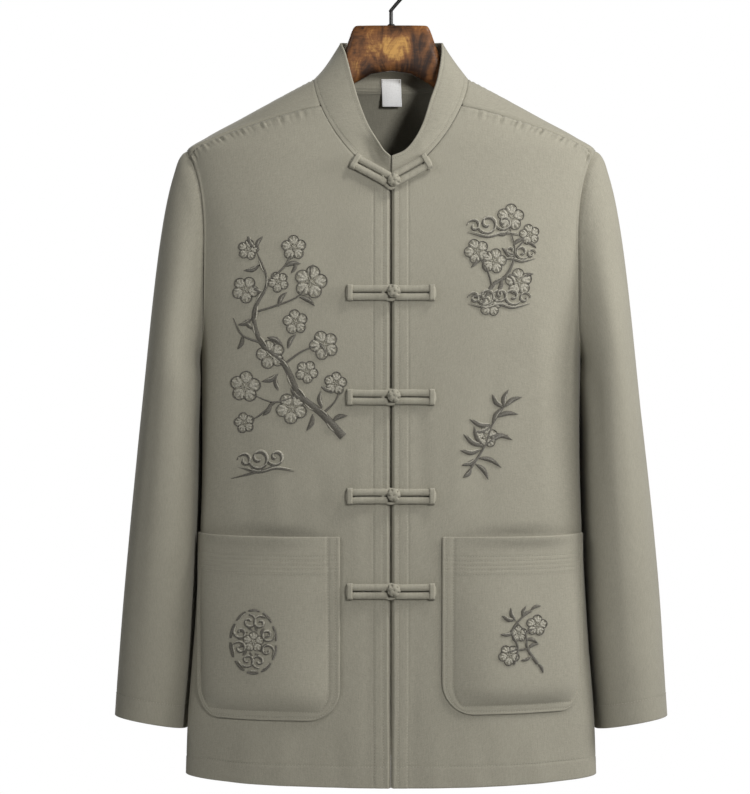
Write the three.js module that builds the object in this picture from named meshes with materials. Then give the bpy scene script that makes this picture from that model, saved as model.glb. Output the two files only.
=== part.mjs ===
// A tang suit jacket hanging on a wooden hanger, in millimetres.
// The origin is where a rail carries the hook. +Z is up, the front of the jacket faces -Y,
// and the wearer's left is +X. Each cut piece of cloth is a thin closed wall of its own.
import * as THREE from "three";

// Cloth and seams
const CLOTH = 1.4; // the shell cloth with its facings
const COLLAR_CLOTH = 2; // the stiffened collar band
const SEAM_INSET = 0.2; // each piece stops this far short of a seam
const LIFT = 0.3; // what lies on a panel clears it by this much
const FRONT_GAP = 1; // each front edge stands this far from the centre line

// Levels, measured down from the rail
const NECK_SIDE_Z = -119.5; // top of the shoulder ridge, beside the neck
const NECK_FRONT_Z = -228; // collar seam at the centre front
const NECK_BACK_Z = -130; // collar seam at the centre back
const SHOULDER_Z = -197; // shoulder point, the top of the armhole
const UNDERARM_Z = -425;
const HEM_Z = -868;
const HEM_RISE = 4; // the hem is this much higher at the sides

// Neck opening and shoulder seam
const NECK_HALF = 83; // half the width of the neck opening at the ridge
const NECK_CURVE = 1.5; // exponent of the front neckline: under 2 is more pointed than an ellipse
const SEAM_FORWARD = { neck: 32, shoulder: 16 }; // how far the shoulder seam lies in front of the ridge

// Armhole, an upright rounded loop seen from the side
const ARMHOLE_DEPTH = 43.5; // half its front to back size
const ARMHOLE_CURVE = 2.3;
const ARMHOLE_EGG = 0.25; // it is wider in its lower half

// The body as level rings. half is half the width, front and back are the depths from the ridge plane,
// square is the exponent of the ring (2 is an ellipse, more is boxier), tuck is the inward side fold.
const BODY_RINGS = [
  { z: -119.5, half: 83, front: 21, back: 40, square: 2.2, tuck: 0 },
  { z: -141, half: 123, front: 32, back: 52, square: 2.2, tuck: 0 },
  { z: -163, half: 163, front: 42, back: 60, square: 2.2, tuck: 0 },
  { z: -182, half: 198, front: 49, back: 65, square: 2.3, tuck: 0 },
  { z: -197, half: 219, front: 53.5, back: 68.5, square: 2.4, tuck: 0 },
  { z: -228, half: 217, front: 61, back: 74, square: 2.6, tuck: 0 },
  { z: -270, half: 214, front: 71, back: 80, square: 2.8, tuck: 0 },
  { z: -346, half: 211, front: 84, back: 87, square: 3.0, tuck: 0 },
  { z: -425, half: 204.5, front: 90, back: 92, square: 3.0, tuck: 2 },
  { z: -551, half: 208.5, front: 95, back: 96, square: 2.8, tuck: 20 },
  { z: -700, half: 218.5, front: 98, back: 99, square: 2.6, tuck: 26 },
  { z: -816, half: 229, front: 100, back: 101, square: 2.4, tuck: 24 },
  { z: -868, half: 231.5, front: 101, back: 102, square: 2.3, tuck: 22 },
];
const TUCK_SPREAD = 0.24; // width of the side fold, in radians of the ring

// Soft hanging folds. angle is where a fold runs on the ring (0 is the centre front, 180 the centre back),
// depth is its size at the hem, spread its width in degrees and top the level where it starts.
const BODY_FOLDS = [
  { side: 1, angle: 24, depth: 1.8, spread: 8, top: -560 },
  { side: 1, angle: 47, depth: -2.2, spread: 9, top: -430 },
  { side: -1, angle: 20, depth: -1.6, spread: 8, top: -600 },
  { side: -1, angle: 40, depth: 2.0, spread: 8, top: -520 },
  { side: 1, angle: 118, depth: 4.5, spread: 8, top: -330 },
  { side: 1, angle: 140, depth: -5, spread: 8, top: -300 },
  { side: 1, angle: 161, depth: 4, spread: 7, top: -380 },
  { side: -1, angle: 122, depth: 4, spread: 8, top: -360 },
  { side: -1, angle: 146, depth: -5.5, spread: 9, top: -280 },
  { side: -1, angle: 168, depth: 3.5, spread: 7, top: -420 },
];

// The sleeve as rings across it, below the cap. outer and inner are its sides seen from the front.
// tilt is how the ring rises outwards, nod how it rises forwards.
const SLEEVE_RINGS = [
  { z: -445, outer: 265, inner: 206, front: 78, back: 76, tilt: 0.1, nod: 0 },
  { z: -520, outer: 273, inner: 205, front: 74, back: 74, tilt: 0.12, nod: 0.02 },
  { z: -600, outer: 281.5, inner: 206.5, front: 70, back: 67, tilt: 0.14, nod: 0.04 },
  { z: -700, outer: 291, inner: 210.5, front: 64, back: 58, tilt: 0.16, nod: 0.07 },
  { z: -813, outer: 299, inner: 221, front: 57, back: 50, tilt: 0.18, nod: 0.1 },
];
const SLEEVE_CURVE = 2.2;
const CAP_ROUND = 0.37; // how strongly the cap rounds over before it falls
const SLEEVE_CLEAR = 0.3; // the sleeve starts this far outside the armhole edge

// The collar's upper edge, from the centre front round to the centre back.
// along is the share of the half collar, left and right are the distances from the centre line.
const COLLAR_RIM = [
  { along: 0, left: 1.2, right: 1.2, y: -59.5, z: -205 },
  { along: 0.08, left: 14, right: 8, y: -58, z: -199.5 },
  { along: 0.18, left: 25, right: 16, y: -54, z: -187 },
  { along: 0.3, left: 34.5, right: 26, y: -46.5, z: -168 },
  { along: 0.42, left: 42, right: 35, y: -37, z: -144 },
  { along: 0.52, left: 50, right: 42, y: -26, z: -120 },
  { along: 0.62, left: 55, right: 50, y: -10, z: -91 },
  { along: 0.7, left: 55.5, right: 54.5, y: 5, z: -80.5 },
  { along: 0.84, left: 38, right: 38, y: 30, z: -79 },
  { along: 1, left: 0, right: 0, y: 39, z: -79 },
];
const COLLAR_BULGE = 2.2; // the band bows outwards between its edges

// Patch pockets, as distances from the centre line along the front, seen from the front
const POCKETS = {
  left: { side: 1, near: 54, far: 203, top: -605, bottom: -791 },
  right: { side: -1, near: 54, far: 205, top: -605, bottom: -798 },
};
const POCKET_CORNER = 34;
const POCKET_PUFF = 3.3; // the most that the pocket stands off the front, above its lower edge
const POCKET_MOUTH = 0.45; // share of that puff at the mouth

// Frog fastenings
const FROG_LEVELS = [-349.5, -458.5, -562, -661.5]; // the four level ones
const FROG_REACH = 46; // centre line to the outer end of a strip
const FROG_CORD = { wide: 7.4, thick: 4 };
const FROG_PITCH = 4.1; // half the distance between the two cords of a strip
const KNOT_RADIUS = 6.8;
const KNOT_LOBE = 0.5;
const COLLAR_FROG = { knotZ: -233, endX: 41, endZ: -210, lift: 1.8 }; // the top one laps over the collar seam

// Label in the back neck
const LABEL = { width: 21, height: 31.5, thick: 1, topZ: -114.5, y: 41.7 };

// Hanger: a turned wooden arm, drawn as upright sections at each distance from its middle.
// Beyond the neck its top follows the shoulder ridge of the cloth.
const HANGER_NECK = [
  { x: 0, top: -62, bottom: -111, half: 8.5 },
  { x: 20, top: -62, bottom: -113.5, half: 8.5 },
  { x: 40, top: -62.6, bottom: -124, half: 8.5 },
  { x: 47.5, top: -83, bottom: -130, half: 8.6 },
  { x: 57, top: -108, bottom: -137, half: 8.8 },
  { x: 68, top: -126, bottom: -146, half: 9 },
];
// clear is how far the arm's top stays under the inner face of the cloth
const HANGER_ARM = [
  { x: 84, clear: 6, height: 24, half: 9.5 },
  { x: 110, clear: 2.4, height: 27, half: 11 },
  { x: 140, clear: 1.6, height: 29, half: 14 },
  { x: 170, clear: 1.4, height: 30, half: 18 },
  { x: 192, clear: 1.5, height: 29, half: 21 },
  { x: 204, clear: 2, height: 24, half: 20 },
];

// Hook
const WIRE = 4;
const HOOK_RADIUS = 19; // from the crown's centre to the middle of the wire
const HOOK_STEM_TOP = -46;
const WOOD_TOP = -62;

const LEFT = 1;
const RIGHT = -1;
const { PI, abs, atan, cos, hypot, max, min, pow, sign, sin, sqrt } = Math;
const mix = (a, b, t) => a + (b - a) * t;
const vec = (x, y, z) => new THREE.Vector3(x, y, z);

// A table's columns at one place, on a smooth curve through its rows that never overshoots them.
function tableAt(rows, key, at) {
  const step = (i) => rows[i + 1][key] - rows[i][key];
  const last = rows.length - 2;
  let i = 0;
  while (i < last && (at - rows[i + 1][key]) * sign(step(i)) > 0) i++;
  const t = min(1, max(0, (at - rows[i][key]) / step(i)));
  const found = { [key]: at };
  for (const column of Object.keys(rows[0])) {
    if (column === key) continue;
    const rise = (j) => (rows[j + 1][column] - rows[j][column]) / step(j);
    const slope = (j) => {
      if (j === 0) return rise(0);
      if (j > last) return rise(last);
      const before = rise(j - 1);
      const after = rise(j);
      return before * after <= 0 ? 0 : (2 * before * after) / (before + after);
    };
    const h = step(i);
    found[column] =
      (1 + 2 * t) * (1 - t) ** 2 * rows[i][column] +
      t * (1 - t) ** 2 * h * slope(i) +
      t * t * (3 - 2 * t) * rows[i + 1][column] +
      t * t * (t - 1) * h * slope(i + 1);
  }
  return found;
}

const smooth = (t) => {
  const s = min(1, max(0, t));
  return s * s * (3 - 2 * s);
};

// A rounded loop: how far its edge is from its middle, for a unit ring of that exponent.
const roundness = (angle, exponent) =>
  pow(pow(abs(sin(angle)), exponent) + pow(abs(cos(angle)), exponent), -1 / exponent);

// A point on the body's plain ring. angle runs from 0 at the centre front to PI at the centre back.
function bodyRing(angle, z) {
  const ring = tableAt(BODY_RINGS, "z", z);
  const r = roundness(angle, ring.square);
  const depth = angle < PI / 2 ? ring.front : ring.back;
  return { x: ring.half * r * sin(angle), y: -depth * r * cos(angle), tuck: ring.tuck };
}

// A point on the body, with its side tucks and folds.
function bodyPoint(angle, z, side) {
  const { x, y, tuck } = bodyRing(angle, z);
  const inward = tuck * Math.exp(-(((angle - PI / 2) / TUCK_SPREAD) ** 2));
  let fold = 0;
  for (const f of BODY_FOLDS) {
    if (f.side !== side) continue;
    const across = (angle - THREE.MathUtils.degToRad(f.angle)) / THREE.MathUtils.degToRad(f.spread);
    fold += f.depth * Math.exp(-across * across) * smooth((f.top - z) / (f.top - HEM_Z));
  }
  return vec(side * (x - inward + fold * sin(angle) * 0.4), y - fold * cos(angle), z);
}

// The outward normal of the body there.
function bodyNormal(angle, z, side) {
  const e = 0.004;
  const dz = 0.8;
  const around = bodyPoint(angle + e, z, side).sub(bodyPoint(angle - e, z, side));
  const down = bodyPoint(angle, z - dz, side).sub(bodyPoint(angle, z + dz, side));
  return down.cross(around).multiplyScalar(side).normalize();
}

// The ring angle at a level, from the distance to the centre line or from the depth.
function angleAtX(x, z) {
  const ring = tableAt(BODY_RINGS, "z", z);
  const q = pow(abs(x) / ring.half, ring.square);
  return atan(pow(q / max(0, 1 - q), 1 / ring.square));
}
function angleAtY(y, z) {
  const ring = tableAt(BODY_RINGS, "z", z);
  const depth = y < 0 ? ring.front : ring.back;
  if (abs(y) < 1e-6) return PI / 2;
  const angle = atan(pow(max(0, pow(depth / abs(y), ring.square) - 1), 1 / ring.square));
  return y < 0 ? angle : PI - angle;
}

// Edges of the panels, each as { angle, z } on the body.
// The neckline's front half: turn goes from 0 at the centre front to PI / 2 at the ridge.
function frontNeck(turn) {
  const r = roundness(turn, NECK_CURVE);
  const z = NECK_SIDE_Z - (NECK_SIDE_Z - NECK_FRONT_Z) * r * cos(turn);
  return { angle: angleAtX(NECK_HALF * r * sin(turn), z), z };
}
// The back half: turn goes from 0 at the ridge to PI / 2 at the centre back.
function backNeck(turn) {
  const z = mix(NECK_SIDE_Z, NECK_BACK_Z, smooth(sin(turn)));
  return { angle: PI - angleAtX(NECK_HALF * cos(turn), z), z };
}
// The armhole: turn goes from 0 at the shoulder point, PI / 2 at the front, to PI under the arm,
// and is negative at the back.
function armhole(turn) {
  const r = roundness(turn, ARMHOLE_CURVE);
  const middle = (SHOULDER_Z + UNDERARM_Z) / 2;
  const z = middle + ((SHOULDER_Z - UNDERARM_Z) / 2) * r * cos(turn);
  return { angle: angleAtY(-ARMHOLE_DEPTH * r * sin(turn) * (1 - ARMHOLE_EGG * cos(turn)), z), z };
}

// The turn at which a curve of edge points reaches a depth in front of the ridge.
function turnAtDepth(curve, from, to, depth) {
  let low = from;
  let high = to;
  for (let i = 0; i < 40; i++) {
    const middle = (low + high) / 2;
    const at = curve(middle);
    const reached = -bodyPoint(at.angle, at.z, LEFT).y < depth;
    if (reached) low = middle;
    else high = middle;
  }
  return (low + high) / 2;
}
const SEAM_NECK_TURN = turnAtDepth(frontNeck, PI / 2, 0, SEAM_FORWARD.neck);
const SEAM_ARM_TURN = turnAtDepth(armhole, 0, PI / 2, SEAM_FORWARD.shoulder);

// The shoulder seam, from the neckline at 0 to the armhole at 1.
function shoulderSeam(t) {
  const z = mix(frontNeck(SEAM_NECK_TURN).z, armhole(SEAM_ARM_TURN).z, t);
  return { angle: angleAtY(-mix(SEAM_FORWARD.neck, SEAM_FORWARD.shoulder, t), z), z };
}

// Where each panel's grid lines fall. Pieces that share a seam share these, so their edges match.
const steps = (count, ease = (t) => t) => Array.from({ length: count + 1 }, (_, i) => ease(i / count));
const NECK_STEPS = steps(6);
const BACK_NECK_STEPS = steps(7);
const SHOULDER_STEPS = steps(8);
const FRONT_ARM_STEPS = steps(8);
const BACK_ARM_STEPS = steps(13, (t) => pow(t, 1.4));
const SIDE_STEPS = steps(9);
const ARM_SHARE = 0.42; // share of a panel's grid rows beside the armhole
const NECK_SHARE = 0.42; // share of its columns under the neckline
const SIDE_PULL = 2; // how fast the armhole's shape fades towards the middle of a panel

const joined = (first, share, second) => [
  ...first.map((t) => t * share),
  ...second.slice(1).map((t) => share + t * (1 - share)),
];

// The two upper edges of a half panel as functions of its grid columns and rows.
function topEdge(isBack, u) {
  if (u > NECK_SHARE) return shoulderSeam((u - NECK_SHARE) / (1 - NECK_SHARE));
  const t = u / NECK_SHARE;
  if (!isBack) return frontNeck(t * SEAM_NECK_TURN);
  const over = PI / 2 - SEAM_NECK_TURN; // the stretch that laps forward over the ridge
  const turn = mix(PI / 2, -over, t);
  return turn > 0 ? backNeck(turn) : frontNeck(PI / 2 + turn);
}
function sideEdge(isBack, v) {
  if (v > ARM_SHARE) {
    const t = (v - ARM_SHARE) / (1 - ARM_SHARE);
    return { angle: PI / 2, z: mix(UNDERARM_Z, HEM_Z + HEM_RISE, t) };
  }
  const end = isBack ? -PI : PI;
  return armhole(mix(SEAM_ARM_TURN, end, v / ARM_SHARE));
}

// The level of the shoulder ridge at a distance from the centre line, level across the neck.
function ridgeZ(x) {
  let low = SHOULDER_Z;
  let high = NECK_SIDE_Z;
  for (let i = 0; i < 40; i++) {
    const middle = (low + high) / 2;
    if (tableAt(BODY_RINGS, "z", middle).half > x) low = middle;
    else high = middle;
  }
  return low;
}

// A flat chart of the body, in which the panels are blended. turn goes from 0 at the centre to PI / 2
// at the side. reach is the way from the shoulder ridge, above 0 down the back and below 0 down the front.
const CHART_CURVE = 2.8;
const widthAt = (z) => tableAt(BODY_RINGS, "z", min(z, SHOULDER_Z)).half;
function toChart({ angle, z }, isBack) {
  const p = bodyRing(angle, z);
  const way = abs(angle - PI / 2) < 1e-9 ? (isBack ? 1 : -1) : sign(angle - PI / 2);
  const q = pow(min(1, p.x / widthAt(z)), CHART_CURVE);
  const turn = atan(pow(q / max(0, 1 - q), 1 / CHART_CURVE));
  const ridge = ridgeZ((p.x / widthAt(z)) * widthAt(SHOULDER_Z));
  return { turn, reach: p.y + way * (ridge - z) };
}
function fromChart({ turn, reach }) {
  const share = roundness(turn, CHART_CURVE) * sin(turn);
  const ridge = ridgeZ(share * widthAt(SHOULDER_Z));
  const angleAt = (z) => angleAtX(share * widthAt(z), z);
  let high = ridge;
  let low = HEM_Z - 1;
  for (let i = 0; i < 40; i++) {
    const z = (low + high) / 2;
    if (abs(bodyRing(reach > 0 ? PI - angleAt(z) : angleAt(z), z).y) + ridge - z < abs(reach)) high = z;
    else low = z;
  }
  return { angle: reach > 0 ? PI - angleAt(low) : angleAt(low), z: low };
}

// The hem, from the centre of the panel at 0 to the side at 1.
function hemEdge(isBack, u) {
  const angle = mix(isBack ? PI : 0, PI / 2, u);
  return { angle, z: HEM_Z + HEM_RISE * sin(angle) ** 2 };
}

// A point of a half panel's grid, blended from its four edges, as { angle, z } on the body.
function panelSpot(isBack, u, v) {
  if (u === 1) return sideEdge(isBack, v);
  if (v === 0) return topEdge(isBack, u);
  if (v === 1) return hemEdge(isBack, u);
  const top = toChart(topEdge(isBack, u), isBack);
  const hem = toChart(hemEdge(isBack, u), isBack);
  const corner = toChart(topEdge(isBack, 1), isBack);
  const hemCorner = toChart(hemEdge(isBack, 1), isBack);
  const side = toChart(sideEdge(isBack, v), isBack);
  const blend = (name) =>
    mix(top[name], hem[name], v) + u ** SIDE_PULL * (side[name] - mix(corner[name], hemCorner[name], v));
  return fromChart({ turn: blend("turn"), reach: blend("reach") });
}

// A closed wall from rows of points and their outward normals. A tube's rows close on themselves.
// caps: the two long edges of an open sheet are faced too.
function wall(rows, normals, thickness, isTube = false) {
  const position = [];
  const index = [];
  const height = rows.length;
  const width = rows[0].length;
  const put = (p) => position.push(p.x, p.y, p.z);
  rows.forEach((row) => row.forEach(put));
  rows.forEach((row, j) =>
    row.forEach((p, i) => put(p.clone().addScaledVector(normals[j][i], -thickness))),
  );
  const inside = width * height;
  const at = (j, i) => j * width + (i % width);
  const quad = (a, b, c, d) => index.push(a, b, c, a, c, d);
  const facet = (a, b, c, d) => {
    const gap = (m, n) => hypot(...[0, 1, 2].map((k) => position[m * 3 + k] - position[n * 3 + k]));
    const [p, q, r, t] = gap(a, c) <= gap(b, d) ? [a, b, c, d] : [b, c, d, a];
    quad(p, q, r, t);
    quad(inside + p, inside + t, inside + r, inside + q);
  };
  const columns = isTube ? width : width - 1;
  for (let j = 0; j < height - 1; j++)
    for (let i = 0; i < columns; i++) facet(at(j, i), at(j + 1, i), at(j + 1, i + 1), at(j, i + 1));
  for (let i = 0; i < columns; i++) {
    quad(at(0, i), at(0, i + 1), inside + at(0, i + 1), inside + at(0, i));
    const j = height - 1;
    quad(at(j, i), inside + at(j, i), inside + at(j, i + 1), at(j, i + 1));
  }
  if (!isTube)
    for (let j = 0; j < height - 1; j++) {
      quad(at(j, 0), inside + at(j, 0), inside + at(j + 1, 0), at(j + 1, 0));
      const i = width - 1;
      quad(at(j, i), at(j + 1, i), inside + at(j + 1, i), inside + at(j, i));
    }
  return solid(position, index);
}

// A geometry whose faces point out, whichever way its grid was laid.
function solid(position, index) {
  let volume = 0;
  const corner = (i) => vec(...position.slice(index[i] * 3, index[i] * 3 + 3));
  for (let i = 0; i < index.length; i += 3)
    volume += corner(i).dot(corner(i + 1).cross(corner(i + 2)));
  if (volume < 0) for (let i = 0; i < index.length; i += 3) [index[i], index[i + 1]] = [index[i + 1], index[i]];
  const geometry = new THREE.BufferGeometry();
  geometry.setAttribute("position", new THREE.Float32BufferAttribute(position, 3));
  geometry.setIndex(index);
  geometry.computeVertexNormals();
  return geometry;
}

// A bar with a given section carried along points. Each point has two directions that span its section.
function bar(points, section, isClosed = false) {
  const position = [];
  const index = [];
  const sides = section.length;
  for (const { at, across, up } of points)
    for (const [a, b] of section) {
      const p = at.clone().addScaledVector(across, a).addScaledVector(up, b);
      position.push(p.x, p.y, p.z);
    }
  const rings = points.length;
  for (let j = 0; j < (isClosed ? rings : rings - 1); j++)
    for (let i = 0; i < sides; i++) {
      const a = j * sides + i;
      const b = j * sides + ((i + 1) % sides);
      const c = ((j + 1) % rings) * sides + ((i + 1) % sides);
      const d = ((j + 1) % rings) * sides + i;
      index.push(a, b, c, a, c, d);
    }
  if (!isClosed)
    for (let i = 1; i < sides - 1; i++) {
      index.push(0, i + 1, i);
      const end = (rings - 1) * sides;
      index.push(end, end + i, end + i + 1);
    }
  return solid(position, index);
}
const oval = (width, thickness, sides) =>
  steps(sides).slice(1).map((t) => [
    (width / 2) * roundness(2 * PI * t, 2.6) * cos(2 * PI * t),
    (thickness / 2) * roundness(2 * PI * t, 2.6) * sin(2 * PI * t),
  ]);

// Pulls the edge points of a grid in by the seam inset, along the cloth and square to both edges there.
function inset(rows, normals) {
  const bottom = rows.length - 1;
  const right = rows[0].length - 1;
  const loop = [
    ...rows[0].map((_, i) => [0, i]),
    ...rows.slice(1).map((_, j) => [j + 1, right]),
    ...rows[0].slice(1).map((_, i) => [bottom, right - 1 - i]),
    ...rows.slice(2).map((_, j) => [bottom - 1 - j, 0]),
  ];
  const at = (k) => {
    const [j, i] = loop[(k + loop.length) % loop.length];
    return rows[j][i];
  };
  const middle = right >> 1;
  const inner = rows[1][middle].clone().sub(rows[0][middle]);
  const along = rows[0][middle + 1].clone().sub(rows[0][middle]);
  const way = sign(normals[0][middle].clone().cross(along).dot(inner));
  const moved = rows.map((row) => row.map((p) => p.clone()));
  loop.forEach(([j, i], k) => {
    const inward = (a, b) => normals[j][i].clone().cross(b.clone().sub(a)).normalize().multiplyScalar(way);
    const before = inward(at(k - 1), at(k));
    const after = inward(at(k), at(k + 1));
    const share = SEAM_INSET / (1 + before.dot(after));
    moved[j][i].addScaledVector(before.add(after), share);
  });
  return moved;
}

function frontPanel(side) {
  const us = joined(NECK_STEPS, NECK_SHARE, SHOULDER_STEPS);
  const vs = joined(FRONT_ARM_STEPS, ARM_SHARE, SIDE_STEPS);
  const spots = vs.map((v) => us.map((u) => panelSpot(false, u, v)));
  const rows = spots.map((row) =>
    row.map(({ angle, z }, i) => {
      const p = bodyPoint(angle, z, side);
      p.x += side * FRONT_GAP * (1 - us[i]) ** 2;
      return p;
    }),
  );
  const normals = spots.map((row) => row.map(({ angle, z }) => bodyNormal(angle, z, side)));
  return wall(inset(rows, normals), normals, CLOTH);
}

function backPanel() {
  const half = joined(BACK_NECK_STEPS, NECK_SHARE, SHOULDER_STEPS);
  const vs = joined(BACK_ARM_STEPS, ARM_SHARE, SIDE_STEPS);
  const columns = [
    ...half.slice(1).reverse().map((u) => ({ u, side: RIGHT })),
    ...half.map((u) => ({ u, side: LEFT })),
  ];
  const spots = vs.map((v) => columns.map(({ u, side }) => ({ ...panelSpot(true, u, v), side })));
  const rows = spots.map((row) => row.map(({ angle, z, side }) => bodyPoint(angle, z, side)));
  const normals = spots.map((row) => row.map(({ angle, z, side }) => bodyNormal(angle, z, side)));
  return wall(inset(rows, normals), normals, CLOTH);
}

// A point of the sleeve below its cap. turn is as on the armhole: 0 is the outer side, PI / 2 the front.
function sleeveRing(turn, z, side) {
  const ring = tableAt(SLEEVE_RINGS, "z", z);
  const r = roundness(turn, SLEEVE_CURVE);
  const across = ((ring.outer - ring.inner) / 2) * r * cos(turn);
  const depth = sin(turn) > 0 ? ring.front : ring.back;
  const y = -depth * r * sin(turn);
  return vec(side * ((ring.outer + ring.inner) / 2 + across), y, z + ring.tilt * across - ring.nod * y);
}

// A point of the sleeve, from the armhole at 0 over the cap to 1, and on to the cuff at 2.
function sleevePoint(turn, v, side) {
  const capEnd = SLEEVE_RINGS[0].z;
  const cuff = SLEEVE_RINGS[SLEEVE_RINGS.length - 1].z;
  if (v > 1) return sleeveRing(turn, mix(capEnd, cuff, v - 1), side);
  const edge = armhole(turn);
  const start = bodyPoint(edge.angle, edge.z, side);
  start.x += side * SLEEVE_CLEAR;
  const end = sleeveRing(turn, capEnd, side);
  const reach = start.distanceTo(end);
  const outward = 0.35 + 0.5 * cos(turn / 2) ** 2;
  const fall = 0.42 + 0.45 * sin(turn / 2) ** 2;
  const leave = vec(side * outward, -0.5 * sin(turn), -fall).multiplyScalar(CAP_ROUND * reach);
  const arrive = sleeveRing(turn, capEnd - 1, side).sub(end).multiplyScalar(reach);
  const t = v;
  return start
    .multiplyScalar((1 + 2 * t) * (1 - t) ** 2)
    .addScaledVector(leave, t * (1 - t) ** 2)
    .addScaledVector(end, t * t * (3 - 2 * t))
    .addScaledVector(arrive, t * t * (t - 1));
}

function sleeve(side) {
  const turns = [
    ...FRONT_ARM_STEPS.map((t) => mix(SEAM_ARM_TURN, PI, t)),
    ...BACK_ARM_STEPS.slice(1, -1).reverse().map((t) => mix(SEAM_ARM_TURN, -PI, t)),
  ];
  const levels = [...steps(6, (t) => t * (0.6 + 0.4 * t)), ...steps(9).slice(1).map((t) => 1 + t)];
  const rows = levels.map((v) => turns.map((turn) => sleevePoint(turn, v, side)));
  const normals = levels.map((v, j) =>
    turns.map((turn) => {
      const e = 0.02;
      const low = max(v, e);
      const around = sleevePoint(turn + e, v, side).sub(sleevePoint(turn - e, v, side));
      const down = sleevePoint(turn, min(2, low + e), side).sub(sleevePoint(turn, low - e, side));
      const own = around.cross(down).multiplyScalar(side).normalize();
      if (j > 0) return own;
      const edge = armhole(turn);
      return own.lerp(bodyNormal(edge.angle, edge.z, side), smooth(2 * cos(turn / 2) ** 2 - 0.4)).normalize();
    }),
  );
  return wall(rows, normals, CLOTH, true);
}

// The neckline once round, from the centre front at 0 to the centre back at 1, as the panels have it.
function neckSpots() {
  const front = NECK_STEPS.map((t) => topEdge(false, t * NECK_SHARE));
  const back = BACK_NECK_STEPS.slice(0, -1).reverse().map((t) => topEdge(true, t * NECK_SHARE));
  return [...front, ...back];
}

// Half a collar: for each place along the neckline, the band's points from its seam up to its rim.
function collarColumns(side, levels) {
  const base = neckSpots().map(({ angle, z }) => bodyPoint(angle, z, side));
  base[0].x = side * (FRONT_GAP + SEAM_INSET);
  const lengths = base.map((p, i) => (i ? p.distanceTo(base[i - 1]) : 0));
  const total = lengths.reduce((a, b) => a + b);
  let run = 0;
  return base.map((p, i) => {
    run += lengths[i];
    const rim = tableAt(COLLAR_RIM, "along", run / total);
    const top = vec(side * (side === LEFT ? rim.left : rim.right), rim.y, rim.z);
    const rise = top.clone().sub(p);
    const seam = p.clone().addScaledVector(rise, LIFT / rise.length());
    const out = vec(p.x, p.y, 0).setLength(1);
    return levels.map((v) => seam.clone().lerp(top, v).addScaledVector(out, COLLAR_BULGE * sin(PI * v)));
  });
}

function collar() {
  const levels = steps(3);
  const columns = [...collarColumns(RIGHT, levels), ...collarColumns(LEFT, levels).reverse().slice(1)];
  const rows = levels.map((_, j) => columns.map((column) => column[j]));
  const normals = gridNormals(rows);
  return wall(rows, normals, COLLAR_CLOTH);
}

// Normals of a grid of points, out from the body's upright axis.
function gridNormals(rows) {
  return rows.map((row, j) =>
    row.map((p, i) => {
      const left = row[max(0, i - 1)];
      const right = row[min(row.length - 1, i + 1)];
      const above = rows[max(0, j - 1)][i];
      const below = rows[min(rows.length - 1, j + 1)][i];
      const n = right.clone().sub(left).cross(below.clone().sub(above)).normalize();
      return n.x * p.x + n.y * p.y < 0 ? n.negate() : n;
    }),
  );
}

// A place lifted off the body's cloth, by its ring angle or by its distance from the centre line.
const liftedOff = (angle, z, lift, side) =>
  bodyPoint(angle, z, side).addScaledVector(bodyNormal(angle, z, side), lift);
const onFront = (x, z, lift, side) => liftedOff(angleAtX(x, z), z, lift, side);

function pocket({ side, near, far, top, bottom }) {
  const us = steps(13);
  const drop = [...steps(6, (t) => t * 0.8), 0.86, 0.92, 0.96, 0.985, 1];
  const height = top - bottom;
  const rows = drop.map((v) =>
    us.map((u) => {
      const z = top - v * height;
      const low = max(0, POCKET_CORNER - (z - bottom));
      const cut = POCKET_CORNER - sqrt(max(0, POCKET_CORNER ** 2 - low ** 2));
      const angle = mix(angleAtX(near + cut, z), angleAtX(far - cut * 0.7, z), u);
      const sag = mix(POCKET_MOUTH, 1, smooth(v / 0.7)) * sqrt(max(0, 1 - v ** 6));
      const puff = POCKET_PUFF * sag * pow(sin(PI * u), 0.6);
      return liftedOff(angle, z, LIFT + CLOTH + puff, side);
    }),
  );
  return wall(rows, gridNormals(rows), CLOTH);
}

// A frog strip: one cord that runs out from the knot, turns square and comes back beside itself.
// place(s, t) gives the point and the cloth's normal at s along the strip and t across it.
function frogCord(place, start, reach) {
  const corner = 2.6;
  const line = [];
  for (const s of steps(3)) line.push([mix(start, reach - corner - FROG_PITCH * 0.2, s), FROG_PITCH]);
  for (const a of steps(3).slice(1)) {
    const turn = (a * PI) / 2;
    line.push([reach - corner + corner * sin(turn), FROG_PITCH - corner + corner * cos(turn)]);
  }
  const path = [...line, ...line.slice().reverse().map(([s, t]) => [s, -t])];
  const placed = path.map(([s, t]) => place(s, t));
  const points = placed.map(({ at, normal }, i) => {
    const before = placed[max(0, i - 1)].at;
    const after = placed[min(placed.length - 1, i + 1)].at;
    const along = after.clone().sub(before).normalize();
    const across = normal.clone().cross(along).normalize();
    return { at, across, up: normal };
  });
  return bar(points, oval(FROG_CORD.wide, FROG_CORD.thick, 8));
}

// Where a frog's strip lies: level on the front, or sloping up along the collar seam.
function frogPlace(side, { level, slope, lift }) {
  return (s, t) => {
    const x = s * cos(slope) - t * sin(slope);
    const z = level + s * sin(slope) + t * cos(slope);
    const off = LIFT + lift + FROG_CORD.thick / 2;
    return { at: onFront(x, z, off, side), normal: bodyNormal(angleAtX(x, z), z, side) };
  };
}

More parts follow.
